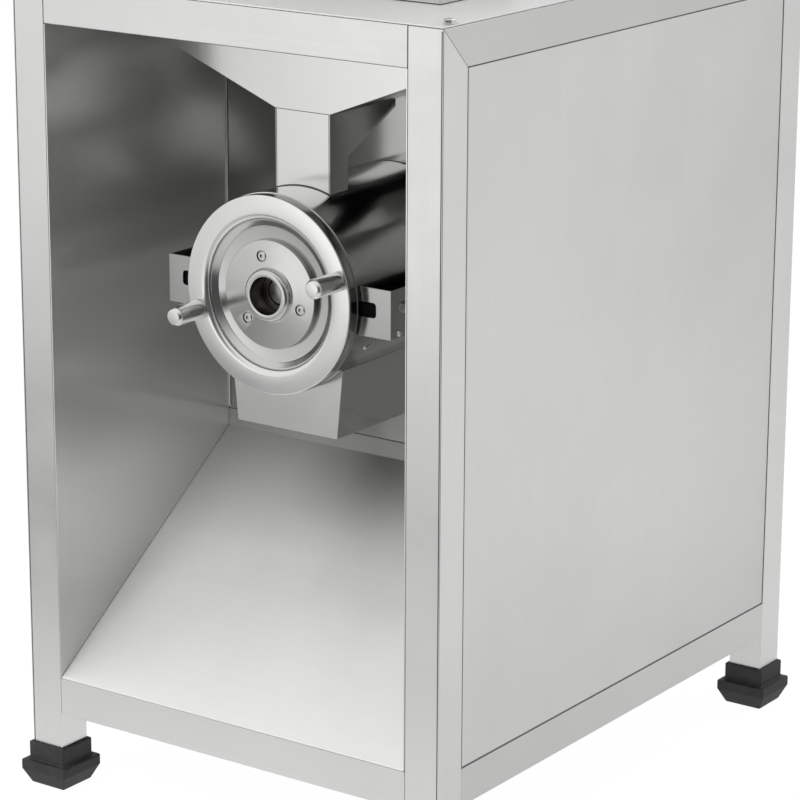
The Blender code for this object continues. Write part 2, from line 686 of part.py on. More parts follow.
def cover(steel, dark):
    """The dished cover in the drum's mouth, the lock ring that clamps it, and the bearing hub."""
    nose = HUB_NOSE_RADIUS + GAP
    profile = [
        (nose, DISH),
        (DISH_RADIUS, DISH),
        (DISH_EDGE_RADIUS, COVER_FRONT),
        (THREAD_COLLAR_RADIUS - GAP, COVER_FRONT),
        (THREAD_COLLAR_RADIUS - GAP, COVER_SEAT),
        (DRUM_BORE - GAP, COVER_SEAT),
        (DRUM_BORE - GAP, COVER_SEAT + COVER_SPIGOT),
        (nose, COVER_SEAT + COVER_SPIGOT),
    ]
    piece("cover_plate", turned(profile), steel, DRUM_AXIS, smooth=True)

    socket = THREAD_COLLAR_RADIUS + GAP
    profile = [
        (RING_LIP_RADIUS, RING_FRONT + RING_EDGE),
        (RING_LIP_RADIUS + RING_EDGE, RING_FRONT),
        (RING_RADIUS - RING_EDGE, RING_FRONT),
        (RING_RADIUS, RING_FRONT + RING_EDGE),
        (RING_RADIUS, DRUM_FRONT - GAP),
        (socket, DRUM_FRONT - GAP),
        (socket, COVER_FRONT - GAP),
        (RING_LIP_RADIUS, COVER_FRONT - GAP),
    ]
    piece("lock_ring", turned(profile), steel, DRUM_AXIS, smooth=True)
    profile = [
        (PIN_RADIUS - PIN_EDGE, -PIN_LENGTH),
        (PIN_RADIUS, PIN_EDGE - PIN_LENGTH),
        (PIN_RADIUS, -GAP),
    ]
    at = on_circle(PIN_CIRCLE, PIN_ANGLE, RING_FRONT)
    pin = piece("right_ring_pin", turned(profile, closed=False, segments=24), steel, at, smooth=True)
    copy_of(pin, "left_ring_pin", on_circle(PIN_CIRCLE, PIN_ANGLE + 180, RING_FRONT))

    chamfer = BOSS_RADIUS - BOSS_FACE_RADIUS
    profile = [
        (HUB_BORE, BOSS_FRONT),
        (BOSS_FACE_RADIUS, BOSS_FRONT),
        (BOSS_RADIUS, BOSS_FRONT + chamfer / 2),
        (BOSS_RADIUS, HUB_FRONT),
        (HUB_RADIUS, HUB_FRONT),
        (HUB_RADIUS, HUB_BACK),
        (HUB_NOSE_RADIUS, HUB_BACK),
        (HUB_NOSE_RADIUS, HUB_END),
        (HUB_BORE, HUB_END),
    ]
    hub = piece("bearing_hub", turned(profile), steel, DRUM_AXIS, smooth=True)
    pockets = []
    for i in range(3):
        floor = HUB_FRONT + HUB_SCREW_POCKET
        pocket = turned_rod(HUB_SCREW_POCKET_RADIUS, HUB_FRONT - SHEET, floor, segments=16)
        shift = on_circle(HUB_SCREW_CIRCLE, HUB_SCREW_ANGLE + 120 * i) - DRUM_AXIS
        bmesh.ops.translate(pocket, vec=shift, verts=pocket.verts)
        pockets.append(pocket)
    cut(hub, merge(*pockets), DRUM_AXIS)
    running = SHAFT_RADIUS + GAP
    profile = [
        (running, BUSH_FRONT),
        (HUB_BORE - GAP, BUSH_FRONT),
        (HUB_BORE - GAP, HUB_END),
        (running, HUB_END),
    ]
    piece("front_bush", turned(profile), dark, DRUM_AXIS, smooth=True)


def hammer_outline(turns):
    """The hammer's flat outline round its pivot: where each ray leaves the rectangle."""
    points = []
    for turn in turns:
        x, z = math.cos(turn), math.sin(turn)
        reaches = [HAMMER_WIDTH / 2 / abs(x)] if abs(x) > 1e-9 else []
        if abs(z) > 1e-9:
            reaches.append((HAMMER_HEEL if z > 0 else HAMMER_REACH) / abs(z))
        points.append((x * min(reaches), z * min(reaches)))
    return points


def rotor(steel, dark):
    """The shaft, the core with its discs, the hammer rods, and the hammers hanging from them."""
    piece("rotor_shaft", turned_rod(SHAFT_RADIUS, SHAFT_FRONT, SHAFT_BACK), steel, DRUM_AXIS, smooth=True)
    half = DISC_PITCH * (DISC_COUNT - 1) / 2 + DISC / 2
    inner = SHAFT_RADIUS + GAP
    profile = [(inner, -half)]
    for i in range(DISC_COUNT):
        middle = DISC_PITCH * (i - (DISC_COUNT - 1) / 2)
        if i:
            profile.append((ROTOR_HUB_RADIUS, middle - DISC / 2))
        profile += [(DISC_RADIUS, middle - DISC / 2), (DISC_RADIUS, middle + DISC / 2)]
        if i < DISC_COUNT - 1:
            profile.append((ROTOR_HUB_RADIUS, middle + DISC / 2))
    profile.append((inner, half))
    at = DRUM_AXIS + Vector((0, ROTOR_MIDDLE, 0))
    core = piece("rotor_core", turned(profile), dark, at, smooth=True)
    holes = []
    for degrees in ROD_ANGLES:
        hole = turned_rod(ROD_RADIUS + GAP, -2 * half, 2 * half, segments=16)
        shift = on_circle(ROD_CIRCLE, degrees) - DRUM_AXIS
        bmesh.ops.translate(hole, vec=shift, verts=hole.verts)
        holes.append(hole)
    cut(core, merge(*holes), at)

    rod_mesh = turned_rod(ROD_RADIUS, -half - DISC / 2, half + DISC / 2, segments=16)
    turns = [math.tau * (i + 0.5) / 16 - math.pi for i in range(16)]
    for z in (-HAMMER_REACH, HAMMER_HEEL):
        turns += [math.atan2(z, -HAMMER_WIDTH / 2), math.atan2(z, HAMMER_WIDTH / 2)]
    turns.sort()
    hole = [((ROD_RADIUS + GAP) * math.cos(turn), (ROD_RADIUS + GAP) * math.sin(turn)) for turn in turns]
    rings = []
    for outline, y in ((hammer_outline(turns), -1), (hammer_outline(turns), 1), (hole, 1), (hole, -1)):
        rings.append([(x, y * HAMMER / 2, z) for x, z in outline])
    first_rod = first_hammer = None
    for i, degrees in enumerate(ROD_ANGLES):
        at = on_circle(ROD_CIRCLE, degrees, ROTOR_MIDDLE)
        if first_rod is None:
            first_rod = piece("hammer_rod_1", rod_mesh, steel, at, smooth=True)
        else:
            copy_of(first_rod, f"hammer_rod_{i + 1}", at)
        for j in range(DISC_COUNT - 1):
            shift = Vector((0, DISC_PITCH * (j - (DISC_COUNT - 2) / 2), 0))
            name = f"hammer_{i * (DISC_COUNT - 1) + j + 1}"
            if first_hammer is None:
                first_hammer = piece(name, loft(rings, closed=True), dark, at + shift)
            else:
                copy_of(first_hammer, name, at + shift)


def pulley(radius, bore, name, finish, at):
    """A V-belt pulley. radius is at the belt's outer face, and the groove clears the belt by GAP."""
    half = PULLEY_WIDTH / 2
    rim = radius - BELT_PROUD
    slope = (BELT_TOP_WIDTH - BELT_BASE_WIDTH) / 2 / BELT
    mouth = BELT_TOP_WIDTH / 2 + GAP - BELT_PROUD * slope
    floor = radius - BELT - 2 * GAP
    floor_half = BELT_BASE_WIDTH / 2 + GAP - 2 * GAP * slope
    profile = [
        (bore, -half),
        (rim, -half),
        (rim, -mouth),
        (floor, -floor_half),
        (floor, floor_half),
        (rim, mouth),
        (rim, half),
        (bore, half),
    ]
    return piece(name, turned(profile), finish, at, smooth=True)


def belt_path(inset, half_width_steps=12):
    """Points of the belt's loop round both pulleys, at inset below its outer face."""
    span = DRUM_HEIGHT - MOTOR_AXIS.z
    lean = math.asin((MOTOR_PULLEY_RADIUS - ROTOR_PULLEY_RADIUS) / span)
    points = []
    for centre, radius, start, end in (
        (DRUM_HEIGHT, ROTOR_PULLEY_RADIUS, lean, math.pi - lean),
        (MOTOR_AXIS.z, MOTOR_PULLEY_RADIUS, math.pi - lean, math.tau + lean),
    ):
        for i in range(half_width_steps + 1):
            turn = start + (end - start) * i / half_width_steps
            points.append(((radius - inset) * math.cos(turn), centre + (radius - inset) * math.sin(turn)))
    return points


def drive(steel, iron, rubber, paint):
    """The rear bearing, both pulleys and the belt, and the motor on its plate."""
    bore = SHAFT_RADIUS + GAP
    profile = [
        (bore, BEARING_FRONT),
        (BEARING_RADIUS, BEARING_FRONT),
        (BEARING_RADIUS, BEARING_FRONT + BEARING_FLANGE),
        (BEARING_NOSE_RADIUS, BEARING_FRONT + BEARING_FLANGE),
        (BEARING_NOSE_RADIUS, BEARING_FRONT + BEARING),
        (bore, BEARING_FRONT + BEARING),
    ]
    piece("rear_bearing", turned(profile), iron, DRUM_AXIS, smooth=True)
    belt_y = Vector((0, BELT_Y, 0))
    pulley(ROTOR_PULLEY_RADIUS, SHAFT_RADIUS + GAP, "rotor_pulley", iron, DRUM_AXIS + belt_y)
    pulley(MOTOR_PULLEY_RADIUS, MOTOR_SHAFT_RADIUS + GAP, "motor_pulley", iron, MOTOR_AXIS + belt_y)
    rings = []
    for inset, half in (
        (0, BELT_TOP_WIDTH / 2),
        (0, -BELT_TOP_WIDTH / 2),
        (BELT, -BELT_BASE_WIDTH / 2),
        (BELT, BELT_BASE_WIDTH / 2),
    ):
        rings.append([(x, BELT_Y + half, z) for x, z in belt_path(inset)])
    piece("v_belt", loft(rings, closed=True), rubber)

    low = (-INNER_X - MOTOR_PLATE_REST, PARTITION_BACK + GAP, RAIL_TOP + GAP)
    plate = piece("motor_plate", box(low, (INNER_X + MOTOR_PLATE_REST, INNER_Y - GAP, MOTOR_BASE)), steel)
    hole = turned_rod(GLAND_RADIUS + GAP, RAIL_TOP - TUBE, MOTOR_BASE + TUBE, "Z", 24)
    cut(plate, hole, (GLAND_X, GLAND_Y, 0))

    back = MOTOR_BACK
    step = MOTOR_RADIUS - MOTOR_END_STEP
    profile = [
        (MOTOR_SHAFT_RADIUS + GAP, MOTOR_FRONT),
        (MOTOR_NOSE_RADIUS, MOTOR_FRONT),
        (step, MOTOR_FRONT + MOTOR_NOSE),
        (MOTOR_RADIUS, MOTOR_FRONT + 2 * MOTOR_NOSE),
        (MOTOR_RADIUS, back - MOTOR_NOSE),
        (step, back),
        (MOTOR_SHAFT_RADIUS + GAP, back),
    ]
    body = piece("motor_body", turned(profile), paint, MOTOR_AXIS, smooth=True)
    middle = (MOTOR_FRONT + back) / 2
    floor = -MOTOR_AXIS_HEIGHT
    outline = [
        (-MOTOR_FOOT_HALF_WIDTH, floor),
        (MOTOR_FOOT_HALF_WIDTH, floor),
        (MOTOR_FOOT_HALF_WIDTH, floor + MOTOR_FOOT),
        (MOTOR_RADIUS * 0.6, -MOTOR_RADIUS * 0.7),
        (-MOTOR_RADIUS * 0.6, -MOTOR_RADIUS * 0.7),
        (-MOTOR_FOOT_HALF_WIDTH, floor + MOTOR_FOOT),
    ]
    half = (back - MOTOR_FRONT - MOTOR_NOSE) / 2 - MOTOR_FOOT_INSET
    foot = place("motor_foot_block", prism(outline, "Y", middle - half, middle + half), MOTOR_AXIS)
    foot.hide_render = True
    foot.display_type = "WIRE"
    modifier = body.modifiers.new("foot", "BOOLEAN")
    modifier.operation = "UNION"
    modifier.solver = "EXACT"
    modifier.object = foot
    shaft = turned_rod(MOTOR_SHAFT_RADIUS, PULLEY_FRONT - MOTOR_SHAFT_PROUD, back - MOTOR_NOSE, segments=24)
    piece("motor_shaft", shaft, steel, MOTOR_AXIS, smooth=True)


def controls(plastic, green, red):
    """The switch box let into the left panel, its two push buttons, and the cable gland."""
    skin = SHEET + GAP - WIDTH / 2
    face = SWITCH_RECESS - WIDTH / 2
    half_y, half_z = SWITCH_HALF
    rings = []
    for extra, x in (
        (0, face),
        (0, skin),
        (SWITCH_LIP, skin),
        (SWITCH_LIP, skin + SWITCH_WALL),
        (SWITCH_WALL, skin + SWITCH_WALL),
        (SWITCH_WALL, skin + SWITCH_BODY),
    ):
        outline = rectangle(-half_y - extra, half_y + extra, -half_z - extra, half_z + extra)
        rings.append([(x, y, z) for y, z in outline])
    at = Vector((0, SWITCH_Y, SWITCH_Z))
    switch = piece("switch_box", loft(rings), plastic, at)
    sockets = []
    for name, finish, sense in (("start_button", green, 1), ("stop_button", red, -1)):
        shift = Vector((0, 0, sense * BUTTON_SPACING / 2))
        depth = BUTTON_BODY + BUTTON_TRAVEL + GAP
        socket = turned_rod(BUTTON_RADIUS + GAP, face - SHEET, face + depth, "X", 24)
        bmesh.ops.translate(socket, vec=shift, verts=socket.verts)
        sockets.append(socket)
        profile = [
            (BUTTON_RADIUS * 0.85, face - BUTTON_PROUD),
            (BUTTON_RADIUS, face - BUTTON_PROUD + 0.0015),
            (BUTTON_RADIUS, face + BUTTON_BODY),
        ]
        piece(name, turned(profile, "X", False, 24), finish, at + shift, smooth=True)
    cut(switch, merge(*sockets), at)

    top = MOTOR_BASE + GAP
    base = RAIL_TOP
    profile = [
        (GLAND_BORE, base - GLAND_DROP),
        (GLAND_NUT_RADIUS * 0.7, base - GLAND_DROP),
        (GLAND_NUT_RADIUS, base - GLAND_NUT),
        (GLAND_NUT_RADIUS, base),
        (GLAND_RADIUS, base),
        (GLAND_RADIUS, top + GLAND_NUT),
        (GLAND_BORE, top + GLAND_NUT),
    ]
    piece("cable_gland", turned(profile, "Z", segments=24), plastic, (GLAND_X, GLAND_Y, 0), smooth=True)


def main():
    for obj in list(bpy.data.objects):
        bpy.data.objects.remove(obj)
    frame(material("tube_steel", (0.78, 0.78, 0.77), 0.35, 1.0))
    feet(material("foot_rubber", (0.02, 0.02, 0.02), 0.7, 0.0))
    sheet_steel = material("sheet_steel", (0.72, 0.72, 0.71), 0.32, 1.0)
    panels(sheet_steel)
    top_plate(sheet_steel)
    compartment(material("liner_steel", (0.60, 0.60, 0.58), 0.25, 1.0))
    feed(sheet_steel)
    polished = material("polished_steel", (0.80, 0.80, 0.79), 0.15, 1.0)
    dark = material("hardened_steel", (0.30, 0.30, 0.31), 0.45, 1.0)
    drum(polished)
    cover(polished, dark)
    rotor(polished, dark)
    iron = material("cast_iron", (0.15, 0.15, 0.16), 0.6, 0.6)
    rubber = material("belt_rubber", (0.02, 0.02, 0.02), 0.8, 0.0)
    drive(sheet_steel, iron, rubber, material("motor_paint", (0.10, 0.16, 0.28), 0.45, 0.0))
    controls(
        material("switch_plastic", (0.05, 0.05, 0.055), 0.5, 0.0),
        material("green_plastic", (0.02, 0.35, 0.08), 0.4, 0.0),
        material("red_plastic", (0.55, 0.02, 0.02), 0.4, 0.0),
    )


main()
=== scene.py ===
"""The looks of the hammer mill: rounded sheet metal and tube, turned parts, fixings and finishes.

Metres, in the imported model's frame: +Z up, the cabinet's open front faces -Y, and the drum's axis runs
along Y. Every piece takes its place from the frame's boxes."""

import json
import math

import bmesh
import bpy
from mathutils import Matrix, Vector

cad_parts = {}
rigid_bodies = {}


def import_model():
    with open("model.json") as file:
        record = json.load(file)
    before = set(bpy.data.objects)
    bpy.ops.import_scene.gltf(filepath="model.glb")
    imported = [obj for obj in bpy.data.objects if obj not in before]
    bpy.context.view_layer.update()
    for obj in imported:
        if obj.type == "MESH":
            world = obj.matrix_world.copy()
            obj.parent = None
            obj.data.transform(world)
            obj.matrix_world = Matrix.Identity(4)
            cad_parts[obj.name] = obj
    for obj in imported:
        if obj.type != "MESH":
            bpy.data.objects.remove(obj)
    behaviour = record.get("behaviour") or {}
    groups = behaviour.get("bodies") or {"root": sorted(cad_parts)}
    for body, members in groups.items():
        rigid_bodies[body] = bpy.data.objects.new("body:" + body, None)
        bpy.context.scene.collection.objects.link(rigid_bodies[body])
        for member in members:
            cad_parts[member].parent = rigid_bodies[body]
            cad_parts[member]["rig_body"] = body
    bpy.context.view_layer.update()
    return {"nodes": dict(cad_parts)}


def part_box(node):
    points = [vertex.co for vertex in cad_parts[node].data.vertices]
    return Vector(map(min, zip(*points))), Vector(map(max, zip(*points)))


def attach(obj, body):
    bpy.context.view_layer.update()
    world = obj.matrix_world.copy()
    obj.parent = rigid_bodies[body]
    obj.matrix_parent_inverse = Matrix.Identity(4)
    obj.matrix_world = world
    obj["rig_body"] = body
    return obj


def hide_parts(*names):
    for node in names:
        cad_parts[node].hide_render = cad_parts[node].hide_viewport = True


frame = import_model()

EDGE = 0.0020  # the rounding of the square tube
FINE = 128  # segments round the large turned parts
MEDIUM = 64  # segments round the handle pins
COARSE = 40  # segments round small screws
GAP = 0.0003  # the clearance between parts that touch

# ---------------------------------------------------------------- places read from the frame

DRUM_LOW, DRUM_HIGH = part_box("drum_housing")
RING_LOW, RING_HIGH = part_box("lock_ring")
COVER_LOW, COVER_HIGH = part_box("cover_plate")
HUB_LOW, HUB_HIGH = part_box("bearing_hub")
PLATE_LOW, PLATE_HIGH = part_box("top_plate")
AXIS_Z = (RING_LOW.z + RING_HIGH.z) / 2
AXIS = Vector((0, 0, AXIS_Z))

# ---------------------------------------------------------------- camera

CAMERA_AT = (1.8043, -2.5918, 1.2561)
CAMERA_AZIMUTH = math.radians(35.22)
CAMERA_ELEVATION = math.radians(15.66)
CAMERA_ROLL = math.radians(0.224)
CAMERA_LENS = 144.1  # millimetres, on a sensor 36 mm wide


def add_camera():
    data = bpy.data.cameras.new("camera")
    data.lens = CAMERA_LENS
    data.sensor_width = 36
    data.clip_end = 50
    camera = bpy.data.objects.new("camera", data)
    a, e = CAMERA_AZIMUTH, CAMERA_ELEVATION
    back = Vector((math.sin(a) * math.cos(e), -math.cos(a) * math.cos(e), math.sin(e)))
    right = Vector((math.cos(a), math.sin(a), 0))
    up = back.cross(right)
    c, s = math.cos(CAMERA_ROLL), math.sin(CAMERA_ROLL)
    turned_right, turned_up = c * right + s * up, c * up - s * right
    turn = Matrix((turned_right, turned_up, back)).transposed().to_4x4()
    camera.matrix_world = Matrix.Translation(CAMERA_AT) @ turn
    bpy.context.scene.collection.objects.link(camera)
    bpy.context.scene.camera = camera


# ---------------------------------------------------------------- node helpers


NOISE_LOW, NOISE_HIGH = 0.3, 0.7  # the range that most of a noise fills


class Nodes:
    """A node tree with short calls: add a node, set its inputs by name, and join sockets."""

    def __init__(self, tree):
        self.tree = tree
        tree.nodes.clear()

    def add(self, kind, settings=None, **inputs):
        node = self.tree.nodes.new(kind)
        for name, value in (settings or {}).items():
            setattr(node, name, value)
        for name, value in inputs.items():
            self.put(node.inputs[name.replace("_", " ")], value)
        return node

    def put(self, socket, value):
        if isinstance(value, bpy.types.NodeSocket):
            self.tree.links.new(value, socket)
        else:
            socket.default_value = value

    def math(self, operation, one, two=0.0):
        node = self.tree.nodes.new("ShaderNodeMath")
        node.operation = operation
        self.put(node.inputs[0], one)
        self.put(node.inputs[1], two)
        return node.outputs[0]

    def span(self, value, low, high, to_low, to_high):
        node = self.tree.nodes.new("ShaderNodeMapRange")
        for socket, given in zip(node.inputs, (value, low, high, to_low, to_high)):
            self.put(socket, given)
        return node.outputs[0]

    def spread(self, noise, low, high):
        """Stretches a noise's usual range to run from low to high."""
        return self.span(noise, NOISE_LOW, NOISE_HIGH, low, high)

    def blend(self, factor, one, two):
        node = self.tree.nodes.new("ShaderNodeMix")
        node.data_type = "RGBA"
        self.put(node.inputs["Factor"], factor)
        self.put(node.inputs["A"], (*one, 1) if isinstance(one, tuple) else one)
        self.put(node.inputs["B"], (*two, 1) if isinstance(two, tuple) else two)
        return node.outputs["Result"]

    def noise(self, vector, scale, detail=3.0, roughness=0.5):
        inputs = {"Vector": vector, "Scale": scale, "Detail": detail, "Roughness": roughness}
        return self.add("ShaderNodeTexNoise", None, **inputs).outputs["Fac"]

    def parts(self, vector):
        return self.add("ShaderNodeSeparateXYZ", None, Vector=vector).outputs

    def bump(self, height, distance, strength, **inputs):
        node = self.add("ShaderNodeBump", None, Strength=strength, Distance=distance, Height=height, **inputs)
        return node.outputs[0]

    def vector(self, operation, one, two=(0, 0, 0)):
        node = self.add("ShaderNodeVectorMath", {"operation": operation})
        self.put(node.inputs[0], one)
        self.put(node.inputs[1], two)
        return node.outputs


def shader_of(name):
    made = bpy.data.materials.new(name)
    made.use_nodes = True
    nodes = Nodes(made.node_tree)
    shader = nodes.add("ShaderNodeBsdfPrincipled")
    output = nodes.add("ShaderNodeOutputMaterial")
    nodes.put(output.inputs["Surface"], shader.outputs[0])
    place = nodes.add("ShaderNodeTexCoord").outputs["Object"]
    return made, nodes, shader, place


def shade(colour, factor):
    return tuple(min(1.0, channel * factor) for channel in colour)


BRUSH_ALONG, BRUSH_ACROSS = 3.0, 1500.0  # noise scales along and across the brushing
SPECKLE = 700.0  # noise scale of a sheet that isn't brushed
TURNING_MARKS = 2600.0  # noise scale across the lathe's rings
DRIFT, SMEAR, SWELL = 9.0, 42.0, 5.0  # noise scales of slow tone, handling marks and unevenness
BUMP_HEIGHT = 0.0004


def fine_marks(nodes, place, grain, lathe):
    """Noise for the finest marks: rings from the lathe, brushing, or an even speckle."""
    if lathe:
        parts = nodes.parts(place)
        square = nodes.math("ADD", nodes.math("POWER", parts["X"], 2), nodes.math("POWER", parts["Z"], 2))
        radius = nodes.math("MULTIPLY", nodes.math("SQRT", square), TURNING_MARKS)
        along = nodes.math("MULTIPLY", parts["Y"], TURNING_MARKS)
        mapped = nodes.add("ShaderNodeCombineXYZ", None, X=radius, Y=along)
    else:
        stretch = [SPECKLE] * 3
        if grain:
            stretch = [BRUSH_ALONG if axis == grain else BRUSH_ACROSS for axis in "XYZ"]
        mapped = nodes.add("ShaderNodeMapping", None, Vector=place, Scale=stretch)
    return nodes.noise(mapped.outputs[0], 1.0, 2.0)


def steel(name, colour, roughness, grain=None, lathe=False, relief=0.03, patch=0.05, metallic=1.0, wave=0.0,
          cloud=1.0, painted_shade=None):
    """Stainless steel. grain is the axis that its brushing runs along, and lathe gives rings round the
    piece's own Y axis. relief is the strength of these marks, and patch the change of roughness from place
    to place. wave is the height in metres of the sheet's slow unevenness, and cloud the strength of its
    changes of tone. painted_shade is painted shade by height: a height where the steel is darker, a height
    where it is plain, and the share of its colour left at the first."""
    made, nodes, shader, place = shader_of(name)
    fine = fine_marks(nodes, place, grain, lathe)
    drift = nodes.noise(place, DRIFT, 4.0, 0.55)
    smear = nodes.noise(place, SMEAR, 3.0, 0.6)
    dim, light = shade(colour, 1 - 0.035 * cloud), shade(colour, 1 + 0.02 * cloud)
    tone = nodes.blend(nodes.span(drift, 0.35, 0.65, 0.0, 1.0), dim, light)
    tone = nodes.blend(nodes.spread(fine, 0.0, 0.35 * cloud), tone, shade(colour, 0.93))
    # painted shade: the colour is darkened below or above a given height, standing in for shade and dark
    # reflections
    if painted_shade:
        dark_height, plain_height, share = painted_shade
        rise = nodes.span(nodes.parts(place)["Z"], dark_height, plain_height, 0.0, 1.0)
        tone = nodes.blend(rise, shade(colour, share), tone)
    level = nodes.spread(drift, roughness - patch, roughness + patch)
    level = nodes.math("ADD", level, nodes.spread(smear, -patch / 3, patch / 3))
    level = nodes.math("ADD", level, nodes.spread(fine, -0.02 * cloud, 0.03 * cloud))
    bump = nodes.bump(fine, BUMP_HEIGHT, relief)
    if wave:
        bump = nodes.bump(nodes.noise(place, SWELL, 1.0, 0.4), wave, 1.0, Normal=bump)
    nodes.put(shader.inputs["Base Color"], tone)
    nodes.put(shader.inputs["Roughness"], level)
    nodes.put(shader.inputs["Normal"], bump)
    shader.inputs["Metallic"].default_value = metallic
    return made


def satin(name, colour):
    """Satin sheet without a grain, as the feed funnel and the chute are made of."""
    return steel(name, colour, 0.20, relief=0.003, patch=0.02, wave=0.0006, cloud=0.5)


def moulded(name, colour, roughness, grain_scale=900.0, relief=0.12, wear=0.25, gloss=0.5):
    """Rubber, plastic or enamel with a fine grain and faint scuffs."""
    made, nodes, shader, place = shader_of(name)
    shader.inputs["Specular IOR Level"].default_value = gloss
    fine = nodes.noise(place, grain_scale, 3.0)
    scuff = nodes.noise(place, 60.0, 5.0, 0.65)
    worn = tuple(channel + (0.35 - channel) * wear * 0.3 for channel in colour)
    tone = nodes.blend(nodes.span(scuff, 0.45, 0.75, 0.0, 1.0), colour, worn)
    nodes.put(shader.inputs["Base Color"], tone)
    nodes.put(shader.inputs["Roughness"], nodes.spread(scuff, roughness - 0.08, roughness + 0.08))
    nodes.put(shader.inputs["Normal"], nodes.bump(fine, 0.0003, relief))
    return made


def metal(name, colour, roughness, relief=0.1):
    """Cast, hardened or welded metal with a mottled surface."""
    made, nodes, shader, place = shader_of(name)
    mottle = nodes.noise(place, 300.0, 6.0, 0.7)
    tone = nodes.blend(nodes.spread(mottle, 0.0, 1.0), shade(colour, 0.7), shade(colour, 1.15))
    nodes.put(shader.inputs["Base Color"], tone)
    nodes.put(shader.inputs["Roughness"], nodes.spread(mottle, roughness - 0.1, roughness + 0.1))
    nodes.put(shader.inputs["Normal"], nodes.bump(mottle, BUMP_HEIGHT, relief))
    shader.inputs["Metallic"].default_value = 1.0
    return made


TUBE_ACROSS = steel("tube_brushed_across", (0.82, 0.82, 0.81), 0.32, grain="X")
# painted shade: the side rails are a darker copy of the tube steel, for their shaded sides
TUBE_DEEP = steel("tube_brushed_deep", (0.72, 0.72, 0.71), 0.34, grain="Y")
TUBE_UPRIGHT = steel("tube_brushed_upright", (0.82, 0.82, 0.81), 0.32, grain="Z")
PANEL = steel("panel_satin", (0.80, 0.80, 0.79), 0.36, grain="Z", relief=0.015, wave=0.0004)
TOP = steel("top_satin", (0.85, 0.85, 0.84), 0.36, grain="X", relief=0.02, metallic=0.4)
# painted shade: the liners darken towards their foot, for the shade low in the compartment
LINER = steel("liner_bright", (0.91, 0.91, 0.89), 0.19, relief=0.001, patch=0.015, metallic=0.64, wave=0.0028,
              cloud=0.4, painted_shade=(0.20, 0.32, 0.62))
# painted shade: the partition is a darker copy of the liners' bright steel, for the shade and dark
# reflections at the compartment's back
PARTITION = steel("partition_bright", (0.46, 0.46, 0.45), 0.10, relief=0.001, patch=0.01, wave=0.0006,
                  cloud=0.4)
# painted shadow: the slide darkens towards its upper, rear edge, under the drum
SLIDE = steel("slide_satin", (0.92, 0.92, 0.91), 0.40, grain="X", relief=0.015, metallic=0.38,
              painted_shade=(0.335, 0.24, 0.50))
FEED = satin("feed_satin", (0.75, 0.75, 0.74))
# painted shade: darker copies of the feed satin for the sideways faces of the chute and the funnel neck
CHUTE_SIDE = satin("chute_side_satin", (0.46, 0.46, 0.455))
NECK_SIDE = satin("neck_side_satin", (0.32, 0.32, 0.315))
# painted shade: the drum darkens from near its top down to its axis, for the dark reflections in its lower
# part
DRUM = steel("drum_polished", (0.86, 0.86, 0.85), 0.15, grain="Y", relief=0.004, patch=0.02, cloud=0.5,
             painted_shade=(0.01, 0.095, 0.26))
RING = steel("ring_turned", (0.82, 0.82, 0.81), 0.20, lathe=True, relief=0.012, patch=0.03)
COVER = steel("cover_turned", (0.63, 0.63, 0.62), 0.20, lathe=True, relief=0.012, patch=0.03)
# painted shade: a dark copy of the turned steel for the hub's bore and the front bush inside it, which lie in
# shade
BORE = steel("bore_dark", (0.20, 0.19, 0.175), 0.30, lathe=True, relief=0.004, patch=0.02, cloud=0.5)
# painted shade: a darker copy of the turned steel for the lock ring's outer side and the hub flange's side
# wall
EDGE_BAND = steel("ring_side_turned", (0.36, 0.36, 0.355), 0.22, grain="X", relief=0.004, patch=0.02,
                  cloud=0.5)
# painted shade: a darker copy of the sheet steel for the brackets, which sit in shade under the drum
BRACKET = steel("bracket_bright", (0.48, 0.48, 0.47), 0.18, relief=0.002, patch=0.02, cloud=0.5)
FIXING = steel("fixing_bright", (0.70, 0.70, 0.69), 0.22, relief=0.01)
# painted highlight: a white, non-metal finish makes each corner bead read as a bright line
BEAD_HIGHLIGHT = steel("corner_bead", (0.92, 0.92, 0.91), 0.45, metallic=0.0)
DARK = metal("hardened_dark", (0.26, 0.26, 0.27), 0.42)
IRON = metal("cast_iron", (0.12, 0.12, 0.125), 0.55, 0.25)
# this dark metal colours the neck's weld, and also lines of painted shade in creases, laps and gaps and along
# the posts' corners
SEAM_AND_SHADE = metal("weld_seam_and_shade", (0.16, 0.16, 0.155), 0.40)
RUBBER = moulded("foot_rubber", (0.022, 0.022, 0.023), 0.62)
BELT = moulded("belt_rubber", (0.018, 0.018, 0.018), 0.75, 1400.0, 0.3)
PAINT = moulded("motor_enamel", (0.09, 0.15, 0.27), 0.38, 500.0, 0.08)
PLASTIC = moulded("switch_plastic", (0.045, 0.045, 0.05), 0.45)
GREEN = moulded("green_plastic", (0.02, 0.33, 0.07), 0.30, 1200.0, 0.05, 0.05)
RED = moulded("red_plastic", (0.52, 0.02, 0.02), 0.30, 1200.0, 0.05, 0.05)
SHADOW = moulded("socket_shadow", (0.006, 0.006, 0.006), 0.80, wear=0.0, gloss=0.0)

# ---------------------------------------------------------------- mesh helpers


def loft(rings, closed=False):
    """A skin over rings of points. closed joins the last ring to the first; otherwise the ends are capped."""
    bm = bmesh.new()
    loops = [[bm.verts.new(point) for point in ring] for ring in rings]
    pairs = list(zip(loops, loops[1:]))
    if closed:
        pairs.append((loops[-1], loops[0]))
    else:
        bm.faces.new(loops[0])
        bm.faces.new(loops[-1])
    for one, two in pairs:
        for i, j in zip(range(-1, len(one) - 1), range(len(one))):
            bm.faces.new((one[i], one[j], two[j], two[i]))
    bmesh.ops.recalc_face_normals(bm, faces=bm.faces)
    return bm


